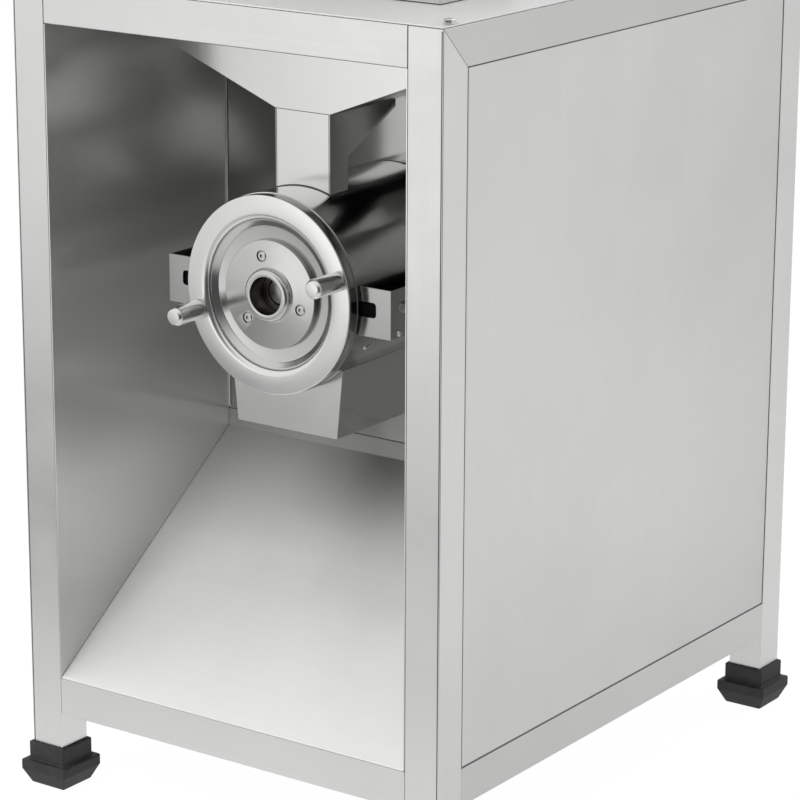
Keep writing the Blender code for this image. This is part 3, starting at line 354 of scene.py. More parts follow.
def turned(profile, axis="Y", closed=True, segments=FINE):
    """A profile of (radius, place along the axis) turned about the axis."""
    at = "XYZ".index(axis)
    turns = [math.tau * i / segments for i in range(segments)]
    rings = []
    for radius, place in profile:
        flat = [(radius * math.cos(turn), radius * math.sin(turn)) for turn in turns]
        rings.append([(*point[:at], place, *point[at:]) for point in flat])
    return loft(rings, closed)


def arc(centre, radius, start, end, steps=6):
    """Points of a round corner in a profile, by angle in degrees."""
    points = []
    for i in range(steps + 1):
        turn = math.radians(start + (end - start) * i / steps)
        points.append((centre[0] + radius * math.cos(turn), centre[1] + radius * math.sin(turn)))
    return points


def corner(radius, place, size, start, end, steps):
    """The rounding of a profile's outer corner at (radius, place). 90 degrees is its back, -90 its front."""
    side = 1 if start + end > 0 else -1
    return arc((radius - size, place - side * size), size, start, end, steps)


def smooth(mesh, angle=35.0):
    """Smooth shading, in which edges that turn more than angle in degrees stay sharp."""
    mesh.shade_smooth()
    mesh.set_sharp_from_angle(angle=math.radians(angle))


def add(name, bm, material, at=(0, 0, 0)):
    mesh = bpy.data.meshes.new(name)
    bm.to_mesh(mesh)
    bm.free()
    mesh.materials.append(material)
    smooth(mesh)
    obj = bpy.data.objects.new(name, mesh)
    obj.location = at
    bpy.context.scene.collection.objects.link(obj)
    return obj


def apply_all(obj):
    """Puts the modifiers' result into the mesh."""
    bpy.context.view_layer.update()
    evaluated = obj.evaluated_get(bpy.context.evaluated_depsgraph_get())
    mesh = bpy.data.meshes.new_from_object(evaluated)
    obj.modifiers.clear()
    obj.data = mesh
    return obj


def cut_out(obj, bm, at=(0, 0, 0)):
    """Cuts a shape out of obj."""
    cutter = add("cutter", bm, SHADOW, at)
    modifier = obj.modifiers.new("cut", "BOOLEAN")
    modifier.operation = "DIFFERENCE"
    modifier.solver = "EXACT"
    modifier.object = cutter
    apply_all(obj)
    bpy.data.objects.remove(cutter)


def soften(obj, width, segments=3, angle=28.0):
    """Rounds the sharp edges and evens the shading over the flats."""
    bevel = obj.modifiers.new("bevel", "BEVEL")
    bevel.width = width
    bevel.segments = segments
    bevel.limit_method = "ANGLE"
    bevel.angle_limit = math.radians(angle)
    bevel.harden_normals = True
    bevel.use_clamp_overlap = True
    return apply_all(obj)


def stand_for(obj, node):
    """obj is shown in place of a CAD node, and moves as the node does."""
    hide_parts(node)
    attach(obj, frame["nodes"][node]["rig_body"])
    return obj


def refine(node, material, width, segments=3, angle=28.0):
    """The CAD node's own shape with its flats made whole again and its edges rounded."""
    bm = bmesh.new()
    bm.from_mesh(frame["nodes"][node].data)
    bmesh.ops.remove_doubles(bm, verts=bm.verts, dist=1e-6)
    bmesh.ops.dissolve_limit(bm, angle_limit=math.radians(1.0), verts=bm.verts, edges=bm.edges)
    obj = add(node + "_finish", bm, material)
    if width:
        soften(obj, width, segments, angle)
    return stand_for(obj, node)


# ---------------------------------------------------------------- cabinet


def cabinet():
    for end in ("front", "rear"):
        for side in ("left", "right"):
            refine(f"{end}_{side}_post", TUBE_UPRIGHT, EDGE, 4)
            refine(f"{end}_{side}_foot", RUBBER, 0.0016)
        for level in ("bottom", "top"):
            refine(f"{end}_{level}_rail", TUBE_ACROSS, EDGE, 4)
    for side in ("left", "right"):
        for level in ("bottom", "top"):
            refine(f"{side}_{level}_rail", TUBE_DEEP, EDGE, 4)
        refine(f"{side}_side_panel", PANEL, 0.0003, 2)
        refine(f"{side}_liner", LINER, 0.0003, 2)
    refine("rear_panel", PANEL, 0)
    refine("partition", PARTITION, 0.0003, 2)
    refine("discharge_slide", SLIDE, 0.0004, 2)
    refine("top_plate", TOP, 0.0005, 3)
    refine("motor_plate", PANEL, 0.0006, 2)


# ---------------------------------------------------------------- fixings


def fasten(obj, direction, body):
    """Turns a fixing made along +Z to face along direction."""
    obj.rotation_euler = Vector(direction).to_track_quat("Z", "Y").to_euler()
    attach(obj, body)
    return obj


def socket_screw(name, at, direction, body, radius, height):
    """A socket-head screw, its head standing on at and facing along direction."""
    edge = radius * 0.16
    socket = radius * 0.5
    floor = height * 0.45
    profile = [
        (socket * 0.02, floor),
        (socket, floor),
        (socket, height),
        (radius - edge, height),
        (radius, height - edge),
        (radius, 0),
    ]
    return fasten(add(name, turned(profile, "Z", False, COARSE), FIXING, at), direction, body)


def dome_screw(name, at, direction, body, radius, height):
    """A round-headed screw with a socket in its crown."""
    rise = []
    for step in range(7):
        turn = math.radians(10 * step)
        rise.append((radius * math.cos(turn), height * math.sin(turn)))
    socket = radius * 0.42
    floor = height * 0.35
    profile = [*rise, (socket, rise[-1][1]), (socket, floor), (socket * 0.02, floor)]
    return fasten(add(name, turned(profile, "Z", False, COARSE), FIXING, at), direction, body)


def hex_head(name, at, direction, radius, height):
    """A hexagon bolt head with a turned-off crown."""
    rings = []
    turns = [math.tau * i / 6 + 0.35 for i in range(6)]
    for out, z in ((radius, 0), (radius, height * 0.8), (radius * 0.86, height)):
        rings.append([(out * math.cos(turn), out * math.sin(turn), z) for turn in turns])
    obj = add(name, loft(rings), FIXING, at)
    soften(obj, radius * 0.06, 2)
    return fasten(obj, direction, "cabinet")


PLATE_SCREW_INSET = (0.0065, 0.018)
PANEL_SCREW_INSET = 0.014
BOLT_RADIUS = 0.0058


def cabinet_fixings():
    inset_x, inset_y = PLATE_SCREW_INSET
    seat = PLATE_HIGH.z + GAP / 3
    for side, x in (("left", PLATE_LOW.x + inset_x), ("right", PLATE_HIGH.x - inset_x)):
        for end, y in (("front", PLATE_LOW.y + inset_y), ("rear", PLATE_HIGH.y - inset_y)):
            hex_head(f"top_plate_{end}_{side}_screw", (x, y, seat), (0, 0, 1), BOLT_RADIUS, 0.0048)
    low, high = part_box("rear_panel")
    levels = {
        "bottom": low.z + PANEL_SCREW_INSET,
        "middle": (low.z + high.z) / 2,
        "top": high.z - PANEL_SCREW_INSET,
    }
    for side, x in (("left", low.x + PANEL_SCREW_INSET), ("right", high.x - PANEL_SCREW_INSET)):
        for level, z in levels.items():
            name = f"rear_panel_{level}_{side}_screw"
            dome_screw(name, (x, high.y - 0.0004, z), (0, 1, 0), "cabinet", 0.0045, 0.0003)


# ---------------------------------------------------------------- feed


def faces_aside(radius, normal):
    """Chooses the faces that look sideways."""
    return abs(normal.x) > 0.4


def feed():
    # painted shade: the funnel's sideways faces take the darker NECK_SIDE copy of its satin
    paint_shade_on_faces(refine("feed_funnel", FEED, 0.0005, 3), NECK_SIDE, faces_aside)
    refine("feed_hopper", PANEL, 0.0007, 3)


# ---------------------------------------------------------------- milling drum

BORE_RADIUS = 0.0885
BACK_WALL = 0.008
DRUM_RADIUS = 0.0965
DRUM_FLANGE = 0.002
THREAD_COLLAR_RADIUS = 0.0935
THREAD_COLLAR = 0.0035
SHAFT_HOLE = 0.016
SHEET = 0.0012  # the thickness of the funnel, the chute and the hopper's flange
NECK_HALF = 0.0325  # half the funnel neck's width
NECK_FRONT = 0.012  # from the funnel's front edge back to its neck
NECK_DEPTH = 0.0285
CHUTE_OPENING_HALF = 0.058
CHUTE_MARGIN = 0.006  # drum wall left in front of and behind the opening to the chute
CUT_REACH = 0.15  # how far the openings are cut, up and down from the drum's axis


def drum():
    """The drum with its openings to the feed neck and the chute, the chute, the brackets and the sieve."""
    front = DRUM_LOW.y + THREAD_COLLAR
    flange = (DRUM_HIGH.x - DRUM_LOW.x) / 2
    back = DRUM_HIGH.y
    inner_back = back - BACK_WALL
    profile = [
        (SHAFT_HOLE, back),
        *corner(DRUM_RADIUS, back, 0.002, 90, 0, 4),
        (DRUM_RADIUS, front + DRUM_FLANGE),
        *corner(flange, front + DRUM_FLANGE, 0.0005, 90, 0, 3),
        *corner(flange, front, 0.0005, 0, -90, 3),
        (THREAD_COLLAR_RADIUS, front),
        (THREAD_COLLAR_RADIUS, DRUM_LOW.y),
        (BORE_RADIUS, DRUM_LOW.y),
        (BORE_RADIUS, inner_back),
        (SHAFT_HOLE, inner_back),
    ]
    housing = add("drum_shell", turned(profile), DRUM, AXIS)
    neck_low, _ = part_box("feed_funnel")
    neck_front = neck_low.y + NECK_FRONT
    inside = NECK_HALF - SHEET
    low = Vector((-inside, neck_front + SHEET, AXIS_Z))
    cut_out(housing, block(low, Vector((inside, neck_front + NECK_DEPTH - SHEET, AXIS_Z + CUT_REACH))))
    chute_low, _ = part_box("discharge_chute")
    low = Vector((-CHUTE_OPENING_HALF, chute_low.y + SHEET + CHUTE_MARGIN, AXIS_Z - CUT_REACH))
    cut_out(housing, block(low, Vector((CHUTE_OPENING_HALF, inner_back - CHUTE_MARGIN, AXIS_Z))))
    smooth(housing.data)
    stand_for(housing, "drum_housing")
    # painted shade: the chute's sideways faces take the darker CHUTE_SIDE copy of its satin
    paint_shade_on_faces(refine("discharge_chute", FEED, 0.0005, 3), CHUTE_SIDE, faces_aside)
    for side in ("left", "right"):
        refine(f"{side}_drum_bracket", BRACKET, 0.0006, 3)
    sieve = frame["nodes"]["sieve_screen"].data.materials
    sieve.clear()
    sieve.append(FIXING)


def block(low, high):
    """A box between two corners."""
    rings = []
    for z in (low.z, high.z):
        rings.append([(low.x, low.y, z), (high.x, low.y, z), (high.x, high.y, z), (low.x, high.y, z)])
    return loft(rings)


def rod_along(name, points, radius, material, body):
    """A round wire or bead through the points."""
    curve = bpy.data.curves.new(name, "CURVE")
    curve.dimensions = "3D"
    curve.bevel_depth = radius
    curve.bevel_resolution = 3
    curve.use_fill_caps = True
    spline = curve.splines.new("POLY")
    spline.points.add(len(points) - 1)
    for target, point in zip(spline.points, points):
        target.co = (*point, 1)
    obj = bpy.data.objects.new(name, curve)
    bpy.context.scene.collection.objects.link(obj)
    bpy.context.view_layer.update()
    mesh = bpy.data.meshes.new_from_object(obj.evaluated_get(bpy.context.evaluated_depsgraph_get()))
    bpy.data.objects.remove(obj)
    mesh.materials.clear()
    mesh.materials.append(material)
    mesh.shade_smooth()
    obj = bpy.data.objects.new(name, mesh)
    bpy.context.scene.collection.objects.link(obj)
    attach(obj, body)
    return obj


BRACKET_BOLT = (0.023, 0.028)  # from the bracket's front and lower edges
BRACKET_SCREW = (0.0135, 0.0045)
SLOT_REACH = (0.0945, 0.1210)  # where the bracket's slot lies, from the drum's axis
SLOT_HEIGHTS = (0.0150, 0.0370)
SLOT_SHADE_DEPTH = 0.0026  # behind the bracket's front face, just clear of its sheet
CLIP_CENTRE = (0.0965, 0.007, -0.0010)  # sideways from the axis, and from the bracket's front and lower edges
CLIP_RADII = (0.0120, 0.0122)


def bracket_fixings():
    """Bolts through the brackets' side legs, the dark behind their slots, and the wire clips under them."""
    for side, sense in (("left", -1), ("right", 1)):
        low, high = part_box(f"{side}_drum_bracket")
        outer = max(abs(low.x), abs(high.x)) * sense
        aside = (sense, 0, 0)
        at = (outer, low.y + BRACKET_BOLT[0], low.z + BRACKET_BOLT[1])
        hex_head(f"{side}_bracket_bolt", at, aside, BOLT_RADIUS, 0.0042)
        at = (outer, low.y + BRACKET_SCREW[0], low.z + BRACKET_SCREW[1])
        dome_screw(f"{side}_bracket_screw", at, aside, "cabinet", 0.0032, 0.0024)

        wall = low.y + SLOT_SHADE_DEPTH
        near, far = sorted(sense * reach for reach in SLOT_REACH)
        bottom, top = low.z + SLOT_HEIGHTS[0], low.z + SLOT_HEIGHTS[1]
        shadow = block(Vector((near, wall, bottom)), Vector((far, wall + 0.0008, top)))
        shadow = add(f"{side}_slot_shade", shadow, SHADOW)
        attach(shadow, "cabinet")

        across, depth, drop = CLIP_CENTRE
        hook = []
        for i in range(9):
            turn = math.radians(10 - 95 * i / 8)
            x = sense * (across + CLIP_RADII[0] * math.cos(turn))
            hook.append((x, low.y + depth, low.z + drop + CLIP_RADII[1] * math.sin(turn)))
        rod_along(f"{side}_clip_wire", hook, 0.0012, DARK, "cabinet")
        bm = bmesh.new()
        bmesh.ops.create_uvsphere(bm, u_segments=24, v_segments=12, radius=0.0021)
        ball = add(f"{side}_clip_ball", bm, FIXING, hook[-1])
        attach(ball, "cabinet")


FUNNEL_FOLD = 0.700  # the height where the funnel's slope turns into its neck
WELD_RADIUS, FOLD_SHADE_RADIUS, LAP_SHADE_RADIUS, BEAD_RADIUS = 0.0006, 0.0003, 0.00035, 0.0007
LAP_SHADE_INSET = 0.0014  # from the neck's side
BEAD_INSET = (0.0010, 0.0007)  # from the liner and from the partition


def seams_and_painted_lines():
    """A weld line round the neck's foot, lines of painted shade across its head at the fold and down its
    lapped sides, and beads with a painted highlight up the compartment's back corners.
    """
    funnel_low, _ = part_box("feed_funnel")
    _, slide_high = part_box("discharge_slide")
    front = funnel_low.y + NECK_FRONT
    reach = DRUM_RADIUS + 0.0004
    foot = []
    for i in range(13):
        x = NECK_HALF * (i / 6 - 1)
        foot.append((x, front - 0.0002, AXIS_Z + math.sqrt(reach ** 2 - x * x)))
    edge = foot[-1]
    foot.append((edge[0] + 0.0002, edge[1] + NECK_DEPTH + 0.0005, edge[2]))
    rod_along("neck_weld", foot, WELD_RADIUS, SEAM_AND_SHADE, "cabinet")
    # painted shade: a dark line across the neck's head where the funnel folds
    shade_line = [(x, front - 0.0001, FUNNEL_FOLD) for x in (-NECK_HALF, NECK_HALF)]
    rod_along("neck_fold_shade", shade_line, FOLD_SHADE_RADIUS, SEAM_AND_SHADE, "cabinet")
    for side, sense in (("left", -1), ("right", 1)):
        # painted shade: a dark line down each side of the neck where its side plate laps the front
        x = sense * (NECK_HALF - LAP_SHADE_INSET)
        lap_shade = [(x, front, FUNNEL_FOLD - 0.0005), (x, front, edge[2] + 0.001)]
        rod_along(f"neck_{side}_seam", lap_shade, LAP_SHADE_RADIUS, SEAM_AND_SHADE, "cabinet")
        # painted highlight: a bright bead up each back corner of the compartment
        low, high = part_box(f"{side}_liner")
        inner = high.x if sense < 0 else low.x
        back_corner = (inner - sense * BEAD_INSET[0], high.y - BEAD_INSET[1])
        post = [(*back_corner, slide_high.z + 0.0025), (*back_corner, high.z - 0.001)]
        rod_along(f"{side}_corner_bead", post, BEAD_RADIUS, BEAD_HIGHLIGHT, "cabinet")


GAP_LINE_RADIUS = 0.0009
GAP_DEPTH = 0.0008  # how far a gap line's middle lies under the face
CORNER_SHADE_RADIUS = 0.0014
CORNER_SHADE_INSET = (0.0018, 0.0012)  # from the post's outer side and from its front or back
RAIL_SHADE_INSET = (0.0009, 0.0007)  # from the rail's front and lower faces


def gap_line(name, low, high, axis, face):
    """A dark line of painted shade in the gap round a panel that is flush with the frame, in the plane where
    axis is face.
    """
    across = 1 - axis
    corners = []
    for place, z in ((low, low.z), (high, low.z), (high, high.z), (low, high.z)):
        point = [0, 0, z]
        point[axis], point[across] = face, place[across]
        corners.append(tuple(point))
    return rod_along(name, [*corners, corners[0]], GAP_LINE_RADIUS, SEAM_AND_SHADE, "cabinet")


def frame_lines():
    """Dark lines of painted shade: down the posts' rounded outer corners, in the gaps round the panels, and
    under the front's top rail.
    """
    for end, back in (("front", 1), ("rear", -1)):
        for side, sense in (("left", -1), ("right", 1)):
            # painted shade: a dark line down each post's rounded outer corner, standing in for its dark
            # reflection
            low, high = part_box(f"{end}_{side}_post")
            x = (high.x if sense > 0 else low.x) - sense * CORNER_SHADE_INSET[0]
            y = (low.y if back > 0 else high.y) + back * CORNER_SHADE_INSET[1]
            corner_shade = [(x, y, low.z + 0.002), (x, y, high.z - 0.002)]
            rod_along(f"{end}_{side}_bend", corner_shade, CORNER_SHADE_RADIUS, SEAM_AND_SHADE, "cabinet")
    # painted shade: dark lines in the gaps round the side and rear panels
    low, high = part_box("left_side_panel")
    gap_line("left_panel_gap", low, high, 0, low.x + GAP_DEPTH)
    low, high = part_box("right_side_panel")
    gap_line("right_panel_gap", low, high, 0, high.x - GAP_DEPTH)
    low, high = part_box("rear_panel")
    gap_line("rear_panel_gap", low, high, 1, high.y - GAP_DEPTH)
    # painted shade: a dark line along the lower front edge of the front's top rail
    low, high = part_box("front_top_rail")
    y, z = low.y + RAIL_SHADE_INSET[0], low.z + RAIL_SHADE_INSET[1]
    shade_line = [(low.x, y, z), (high.x, y, z)]
    rod_along("top_rail_shade", shade_line, GAP_LINE_RADIUS, SEAM_AND_SHADE, "cabinet")


HOPPER_TAPER = (0.076, 0.092)  # from the hopper's rim in to its foot, sideways and lengthways
FOOT_LEDGE = (0.0132, 0.0188)  # how far the flange stands out round the hopper's foot
FOOT_SCREW_INSET = (0.0066, 0.030)


def hopper_foot():
    """The flange that the hopper stands on, its screws, and a dark line of painted shadow under its edge."""
    low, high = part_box("feed_hopper")
    wall = (high.x - HOPPER_TAPER[0], low.y + HOPPER_TAPER[1], high.y - HOPPER_TAPER[1])
    edge = (wall[0] + FOOT_LEDGE[0], wall[1] - FOOT_LEDGE[1], wall[2] + FOOT_LEDGE[1])
    base, top = low.z, low.z + SHEET
    rings = [rectangle(*edge, base), rectangle(*edge, top), rectangle(*wall, top), rectangle(*wall, base)]
    foot = add("hopper_foot", loft(rings, True), PANEL)
    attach(foot, "cabinet")
    # painted shadow: a dark line under the flange's edge
    line = rectangle(*edge, base)
    rod_along("hopper_foot_gap", [*line, line[0]], 0.0007, SEAM_AND_SHADE, "cabinet")
    wide, front, back = edge
    aside, along = FOOT_SCREW_INSET
    for side, x in (("left", -wide + aside), ("right", wide - aside)):
        for end, y in (("front", front + along), ("rear", back - along)):
            name = f"hopper_foot_{end}_{side}_screw"
            dome_screw(name, (x, y, top), (0, 0, 1), "cabinet", 0.0042, 0.0022)


def rectangle(wide, front, back, z):
    """The corners of a level rectangle that reaches as far left as right."""
    return [(-wide, front, z), (wide, front, z), (wide, back, z), (-wide, back, z)]


# ---------------------------------------------------------------- cover, ring and hub

RING_LIP_RADIUS = 0.0728
RING_LIP_ROUND = (0.0064, 0.0042)  # the lip's rounding, across the face and in depth
RING_SOCKET = 0.0938
COVER_SEAT = 0.0032
DISH_EDGE_RADIUS = 0.0716
DISH_RADIUS = 0.0671
DISH_DEPTH = 0.004
NOSE_RADIUS = 0.030
HUB_BORE = 0.0184
HUB_FLANGE = 0.005
BOSS_RADIUS = 0.026
BOSS_FACE_RADIUS = 0.021
BOSS_ROUND = 0.004
HUB_SCREW_CIRCLE = 0.0375
HUB_SCREW_ANGLE = 104.5
HUB_SCREW_POCKET = 0.0036
HUB_SCREW_POCKET_RADIUS = 0.0058
DISH_PLANE = COVER_LOW.y + DISH_DEPTH


def paint_shade_on_faces(obj, material, chosen):
    """Gives the faces chosen by their distance from the axis and their normal another material, a darker one
    that paints shade on them.
    """
    obj.data.materials.append(material)
    for face in obj.data.polygons:
        if chosen(math.hypot(face.center.x, face.center.z), face.normal):
            face.material_index = len(obj.data.materials) - 1


def dished_cover():
    front, back = COVER_LOW.y, COVER_HIGH.y
    seat = front + COVER_SEAT
    rim = (COVER_HIGH.x - COVER_LOW.x) / 2
    nose = NOSE_RADIUS + GAP
    spigot = BORE_RADIUS - GAP
    profile = [
        (nose, DISH_PLANE),
        *arc((DISH_RADIUS - 0.0022, DISH_PLANE - 0.0022), 0.0022, 90, 30, 4),
        *arc((DISH_EDGE_RADIUS + 0.0006, front + 0.0010), 0.0010, 210, 270, 4),
        (rim, front),
        (rim, seat),
        (spigot, seat),
        (spigot, back),
        (nose, back),
    ]
    stand_for(add("cover_dish", turned(profile), COVER, AXIS), "cover_plate")


def lock_ring():
    front, back = RING_LOW.y, RING_HIGH.y
    rim = (RING_HIGH.x - RING_LOW.x) / 2
    lip_back = COVER_LOW.y - GAP
    across, depth = RING_LIP_ROUND
    lip = []
    for x, y in arc((0, 0), 1.0, 180, 270, 10):
        lip.append((RING_LIP_RADIUS + across * (1 + x), front + depth * (1 + y)))
    profile = [
        *lip,
        *corner(rim, front, 0.0010, -90, 0, 6),
        *corner(rim, back, 0.0008, 0, 90, 4),
        (RING_SOCKET, back),
        (RING_SOCKET, lip_back),
        (RING_LIP_RADIUS, lip_back),
    ]
    ring = add("ring_body", turned(profile), RING, AXIS)
    # painted shade: the ring's outer side takes the darker EDGE_BAND
    paint_shade_on_faces(ring, EDGE_BAND, lambda radius, normal: radius > rim - 0.0002 and abs(normal.y) < 0.1)
    stand_for(ring, "lock_ring")
    for side in ("right", "left"):
        handle_pin(side)


def handle_pin(side):
    """A turned pin with a crowned end, and a narrower neck where it meets the ring."""
    low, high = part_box(f"{side}_ring_pin")
    radius = (high.x - low.x) / 2
    end = low.y - high.y
    profile = [
        (0.0, end),
        *arc((radius - 0.0030, end + 0.0012), 0.0012, -90, -45, 4),
        (radius - 0.0003, end + 0.0026),
        (radius, end + 0.0034),
        (radius, -0.0036),
        *corner(radius, -0.0016, 0.0010, 0, 90, 4),
        (radius - 0.0010, 0),
    ]
    at = ((low.x + high.x) / 2, high.y, (low.z + high.z) / 2)
    stand_for(add(f"{side}_pin_body", turned(profile, "Y", False, MEDIUM), RING, at), f"{side}_ring_pin")


def bearing_hub():
    back = DISH_PLANE - GAP
    front = back - HUB_FLANGE
    rim = (HUB_HIGH.x - HUB_LOW.x) / 2
    boss = HUB_LOW.y
    profile = [
        *arc((HUB_BORE + 0.0008, boss + 0.0008), 0.0008, 180, 270, 3),
        (BOSS_FACE_RADIUS, boss),
        *arc((BOSS_RADIUS - BOSS_ROUND, boss + BOSS_ROUND), BOSS_ROUND, -75, 0, 7),
        *arc((BOSS_RADIUS + 0.0012, front - 0.0012), 0.0012, 180, 90, 4),
        *corner(rim, front, 0.0006, -90, 0, 4),
        (rim, back),
        (NOSE_RADIUS, back),
        (NOSE_RADIUS, HUB_HIGH.y),
        (HUB_BORE, HUB_HIGH.y),
    ]
    hub = add("hub_body", turned(profile), COVER, AXIS)
    # painted shade: the bore's wall takes the dark BORE
    paint_shade_on_faces(hub, BORE, lambda radius, normal: radius < HUB_BORE + 0.0002)
    # painted shade: the flange's side wall takes the darker EDGE_BAND
    paint_shade_on_faces(hub, EDGE_BAND, lambda radius, normal: radius > rim - 0.0007 and abs(normal.y) < 0.9)
    floor = front + HUB_SCREW_POCKET
    for i in range(3):
        turn = math.radians(HUB_SCREW_ANGLE + 120 * i)
        at = AXIS + Vector((HUB_SCREW_CIRCLE * math.cos(turn), 0, HUB_SCREW_CIRCLE * math.sin(turn)))
        pocket = [(HUB_SCREW_POCKET_RADIUS, front - 0.002), (HUB_SCREW_POCKET_RADIUS, floor)]
        cut_out(hub, turned(pocket, "Y", False, COARSE), at)
        at = at + Vector((0, floor - GAP, 0))
        socket_screw(f"hub_screw_{i + 1}", at, (0, -1, 0), "cover", 0.0047, 0.0032)
    smooth(hub.data, 32)
    stand_for(hub, "bearing_hub")
    refine("front_bush", BORE, 0.0004, 2, 40)


# ---------------------------------------------------------------- inner parts


def inner_parts():
    refine("rotor_core", DARK, 0.0006, 2, 40)
    for i in range(1, 4):
        refine(f"hammer_rod_{i}", FIXING, 0.0008, 2, 40)
    for i in range(1, 7):
        refine(f"hammer_{i}", DARK, 0.0008, 2, 40)
    refine("rotor_shaft", FIXING, 0.0012, 2, 40)
    refine("motor_shaft", FIXING, 0.0010, 2, 40)
    for node in ("rear_bearing", "rotor_pulley", "motor_pulley"):
        refine(node, IRON, 0.0006, 2, 30)
    refine("v_belt", BELT, 0.0005, 2, 30)
    refine("motor_body", PAINT, 0.0015, 2, 30)
    refine("switch_box", PLASTIC, 0.0008, 3, 30)
    refine("cable_gland", PLASTIC, 0.0008, 2, 30)
    refine("start_button", GREEN, 0.0006, 3, 30)
    refine("stop_button", RED, 0.0006, 3, 30)


# ---------------------------------------------------------------- light


def area(name, at, target, size, power):
    data = bpy.data.lights.new(name, "AREA")
    data.shape = "SQUARE"
    data.size = size
    data.energy = power
    lamp = bpy.data.objects.new(name, data)
    lamp.location = at
    lamp.rotation_euler = (Vector(at) - Vector(target)).to_track_quat("Z", "Y").to_euler()
    bpy.context.scene.collection.objects.link(lamp)
    return lamp


def smooth_step(nodes, value, low, high):
    """0 below low, 1 above high, and a smooth rise between them."""
    node = nodes.add("ShaderNodeMapRange", {"interpolation_type": "SMOOTHSTEP"})
    for socket, given in zip(node.inputs, (value, low, high, 0.0, 1.0)):
        nodes.put(socket, given)
    return node.outputs[0]


def towards(nodes, direction, way):
    """How far a direction points along way, from -1 to 1."""
    return nodes.vector("DOT_PRODUCT", direction, Vector(way).normalized())["Value"]


def between(nodes, factor, one, two):
    """one where factor is 0 and two where it is 1."""
    gap = nodes.math("SUBTRACT", two, one)
    return nodes.math("ADD", one, nodes.math("MULTIPLY", gap, factor))


def flattened(nodes, vector):
    """The vector's level direction, one unit long, its level length and its height."""
    parts = nodes.parts(vector)
    level = nodes.add("ShaderNodeCombineXYZ", None, X=parts["X"], Y=parts["Y"]).outputs[0]
    unit = nodes.vector("NORMALIZE", level)["Vector"]
    return unit, nodes.vector("LENGTH", level)["Value"], parts["Z"]


# The studio: level directions out from the object, and places and distances on the floor in metres.
DARK_WAY = (0.66, -0.75, 0)  # the studio is unlit on this side
DARK_START = (0.40, -0.70, 0)  # where the unlit part of the floor begins
BRIGHT_WAY = (-0.577, -0.817, 0)  # the front's mirror image of the camera's side
ACROSS_BRIGHT = (0.817, -0.577, 0)
DARK_GLOW = 0.10
DARK_FLOOR = 0.09
WHITE_FLOOR = 1.03  # what the camera sees of the floor


def add_world():
    """A pale studio that is brighter towards BRIGHT_WAY and dark low down towards DARK_WAY."""
    world = bpy.data.worlds.new("studio")
    bpy.context.scene.world = world
    world.use_nodes = True
    nodes = Nodes(world.node_tree)
    direction = nodes.add("ShaderNodeTexCoord").outputs["Generated"]
    way, _, height = flattened(nodes, direction)
    dark = smooth_step(nodes, towards(nodes, way, DARK_WAY), 0.35, 0.80)
    low = nodes.math("SUBTRACT", 1.0, smooth_step(nodes, height, 0.20, 0.80))
    glow = between(nodes, smooth_step(nodes, towards(nodes, way, BRIGHT_WAY), -0.4, 0.6), 0.74, 0.94)
    glow = between(nodes, nodes.math("MULTIPLY", dark, low), glow, DARK_GLOW)
    lit = nodes.add("ShaderNodeBackground", None, Strength=glow, Color=(1, 1, 1, 1))
    plain = nodes.add("ShaderNodeBackground", None, Strength=1.0, Color=(1, 1, 1, 1))
    path = nodes.add("ShaderNodeLightPath")
    mix = nodes.add("ShaderNodeMixShader")
    nodes.put(mix.inputs[0], path.outputs["Is Camera Ray"])
    nodes.put(mix.inputs[1], lit.outputs[0])
    nodes.put(mix.inputs[2], plain.outputs[0])
    output = nodes.add("ShaderNodeOutputWorld")
    nodes.put(output.inputs["Surface"], mix.outputs[0])


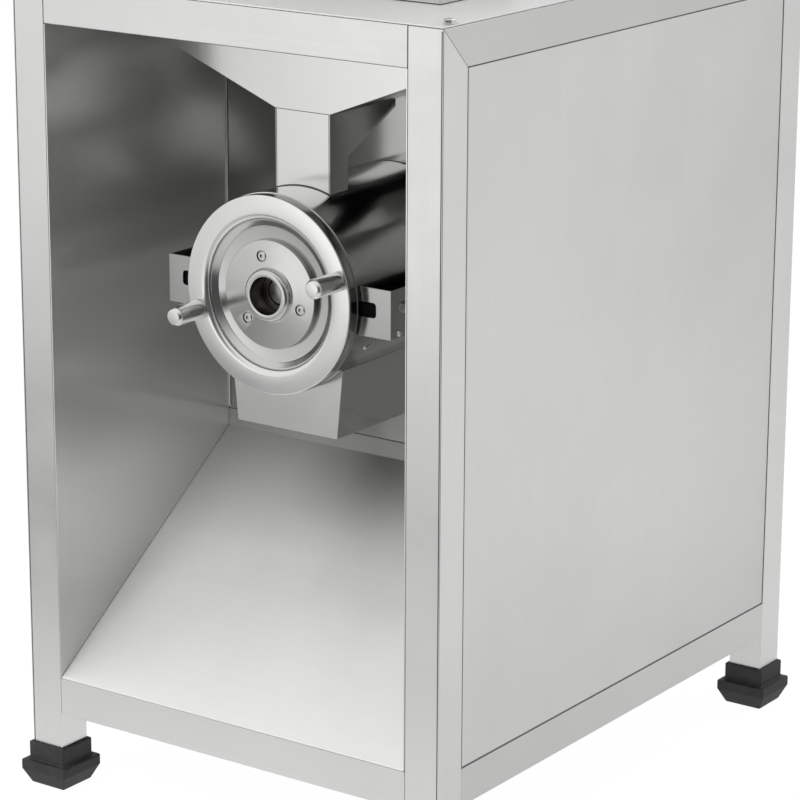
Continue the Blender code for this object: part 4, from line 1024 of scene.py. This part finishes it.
def floor_glow(nodes, place):
    """The floor's brightness in reflections, by the direction and distance from the object."""
    way, distance, _ = flattened(nodes, place)
    aside = nodes.vector("DOT_PRODUCT", place, ACROSS_BRIGHT)["Value"]

    front = between(nodes, smooth_step(nodes, distance, 0.45, 1.35), 0.80, 0.52)
    front = nodes.math("ADD", front, nodes.math("MULTIPLY", smooth_step(nodes, distance, 1.4, 3.0), 0.76))
    left = between(nodes, smooth_step(nodes, aside, -0.05, 0.28), 0.62, 1.0)
    left = between(nodes, smooth_step(nodes, distance, 0.8, 1.5), 1.0, left)
    front = nodes.math("MULTIPLY", front, left)

    rest = between(nodes, smooth_step(nodes, distance, 0.2, 0.9), 0.68, 0.77)
    rear = between(nodes, smooth_step(nodes, aside, 0.0, 0.38), 0.88, 1.06)
    rear = between(nodes, smooth_step(nodes, distance, 1.0, 2.5), 1.0, rear)
    rest = nodes.math("MULTIPLY", rest, rear)
    glow = between(nodes, smooth_step(nodes, towards(nodes, way, BRIGHT_WAY), 0.1, 0.7), rest, front)

    way, distance, _ = flattened(nodes, nodes.vector("SUBTRACT", place, DARK_START)["Vector"])
    dark = smooth_step(nodes, towards(nodes, way, DARK_WAY), 0.25, 0.75)
    dark = nodes.math("MULTIPLY", dark, smooth_step(nodes, distance, 0.10, 0.60))
    return between(nodes, dark, glow, DARK_FLOOR)


def add_floor():
    """A pale floor, white to the camera, that keeps the object's shadow."""
    made = bpy.data.materials.new("floor")
    made.use_nodes = True
    nodes = Nodes(made.node_tree)
    glow = floor_glow(nodes, nodes.add("ShaderNodeTexCoord").outputs["Object"])
    path = nodes.add("ShaderNodeLightPath").outputs
    seen = nodes.math("MAXIMUM", path["Is Camera Ray"], path["Is Transmission Ray"])
    level = between(nodes, seen, glow, WHITE_FLOOR)
    white = nodes.add("ShaderNodeEmission", None, Strength=level, Color=(1, 1, 1, 1))
    paint = nodes.add("ShaderNodeBsdfDiffuse", None, Color=(0.82, 0.82, 0.82, 1))
    mix = nodes.add("ShaderNodeMixShader")
    nodes.put(mix.inputs[0], between(nodes, seen, 1.0, 0.95))
    nodes.put(mix.inputs[1], paint.outputs[0])
    nodes.put(mix.inputs[2], white.outputs[0])
    output = nodes.add("ShaderNodeOutputMaterial")
    nodes.put(output.inputs["Surface"], mix.outputs[0])
    bm = bmesh.new()
    bmesh.ops.create_grid(bm, x_segments=1, y_segments=1, size=12)
    floor = add("floor", bm, made, (0, 0, -0.0005))


def light():
    scene = bpy.context.scene
    scene.view_settings.view_transform = "Standard"
    add_world()
    add_floor()
    key = area("key", (-0.25, -2.5, 2.3), (0.02, -0.15, 0.2), 1.6, 42)
    key.visible_glossy = False  # no glare in the bright sheets
    area("top_rim", (0.8, 1.6, 2.8), (0, 0, 0.7), 1.5, 12)


add_camera()
cabinet()
cabinet_fixings()
feed()
drum()
bracket_fixings()
seams_and_painted_lines()
frame_lines()
hopper_foot()
dished_cover()
lock_ring()
bearing_hub()
inner_parts()
light()
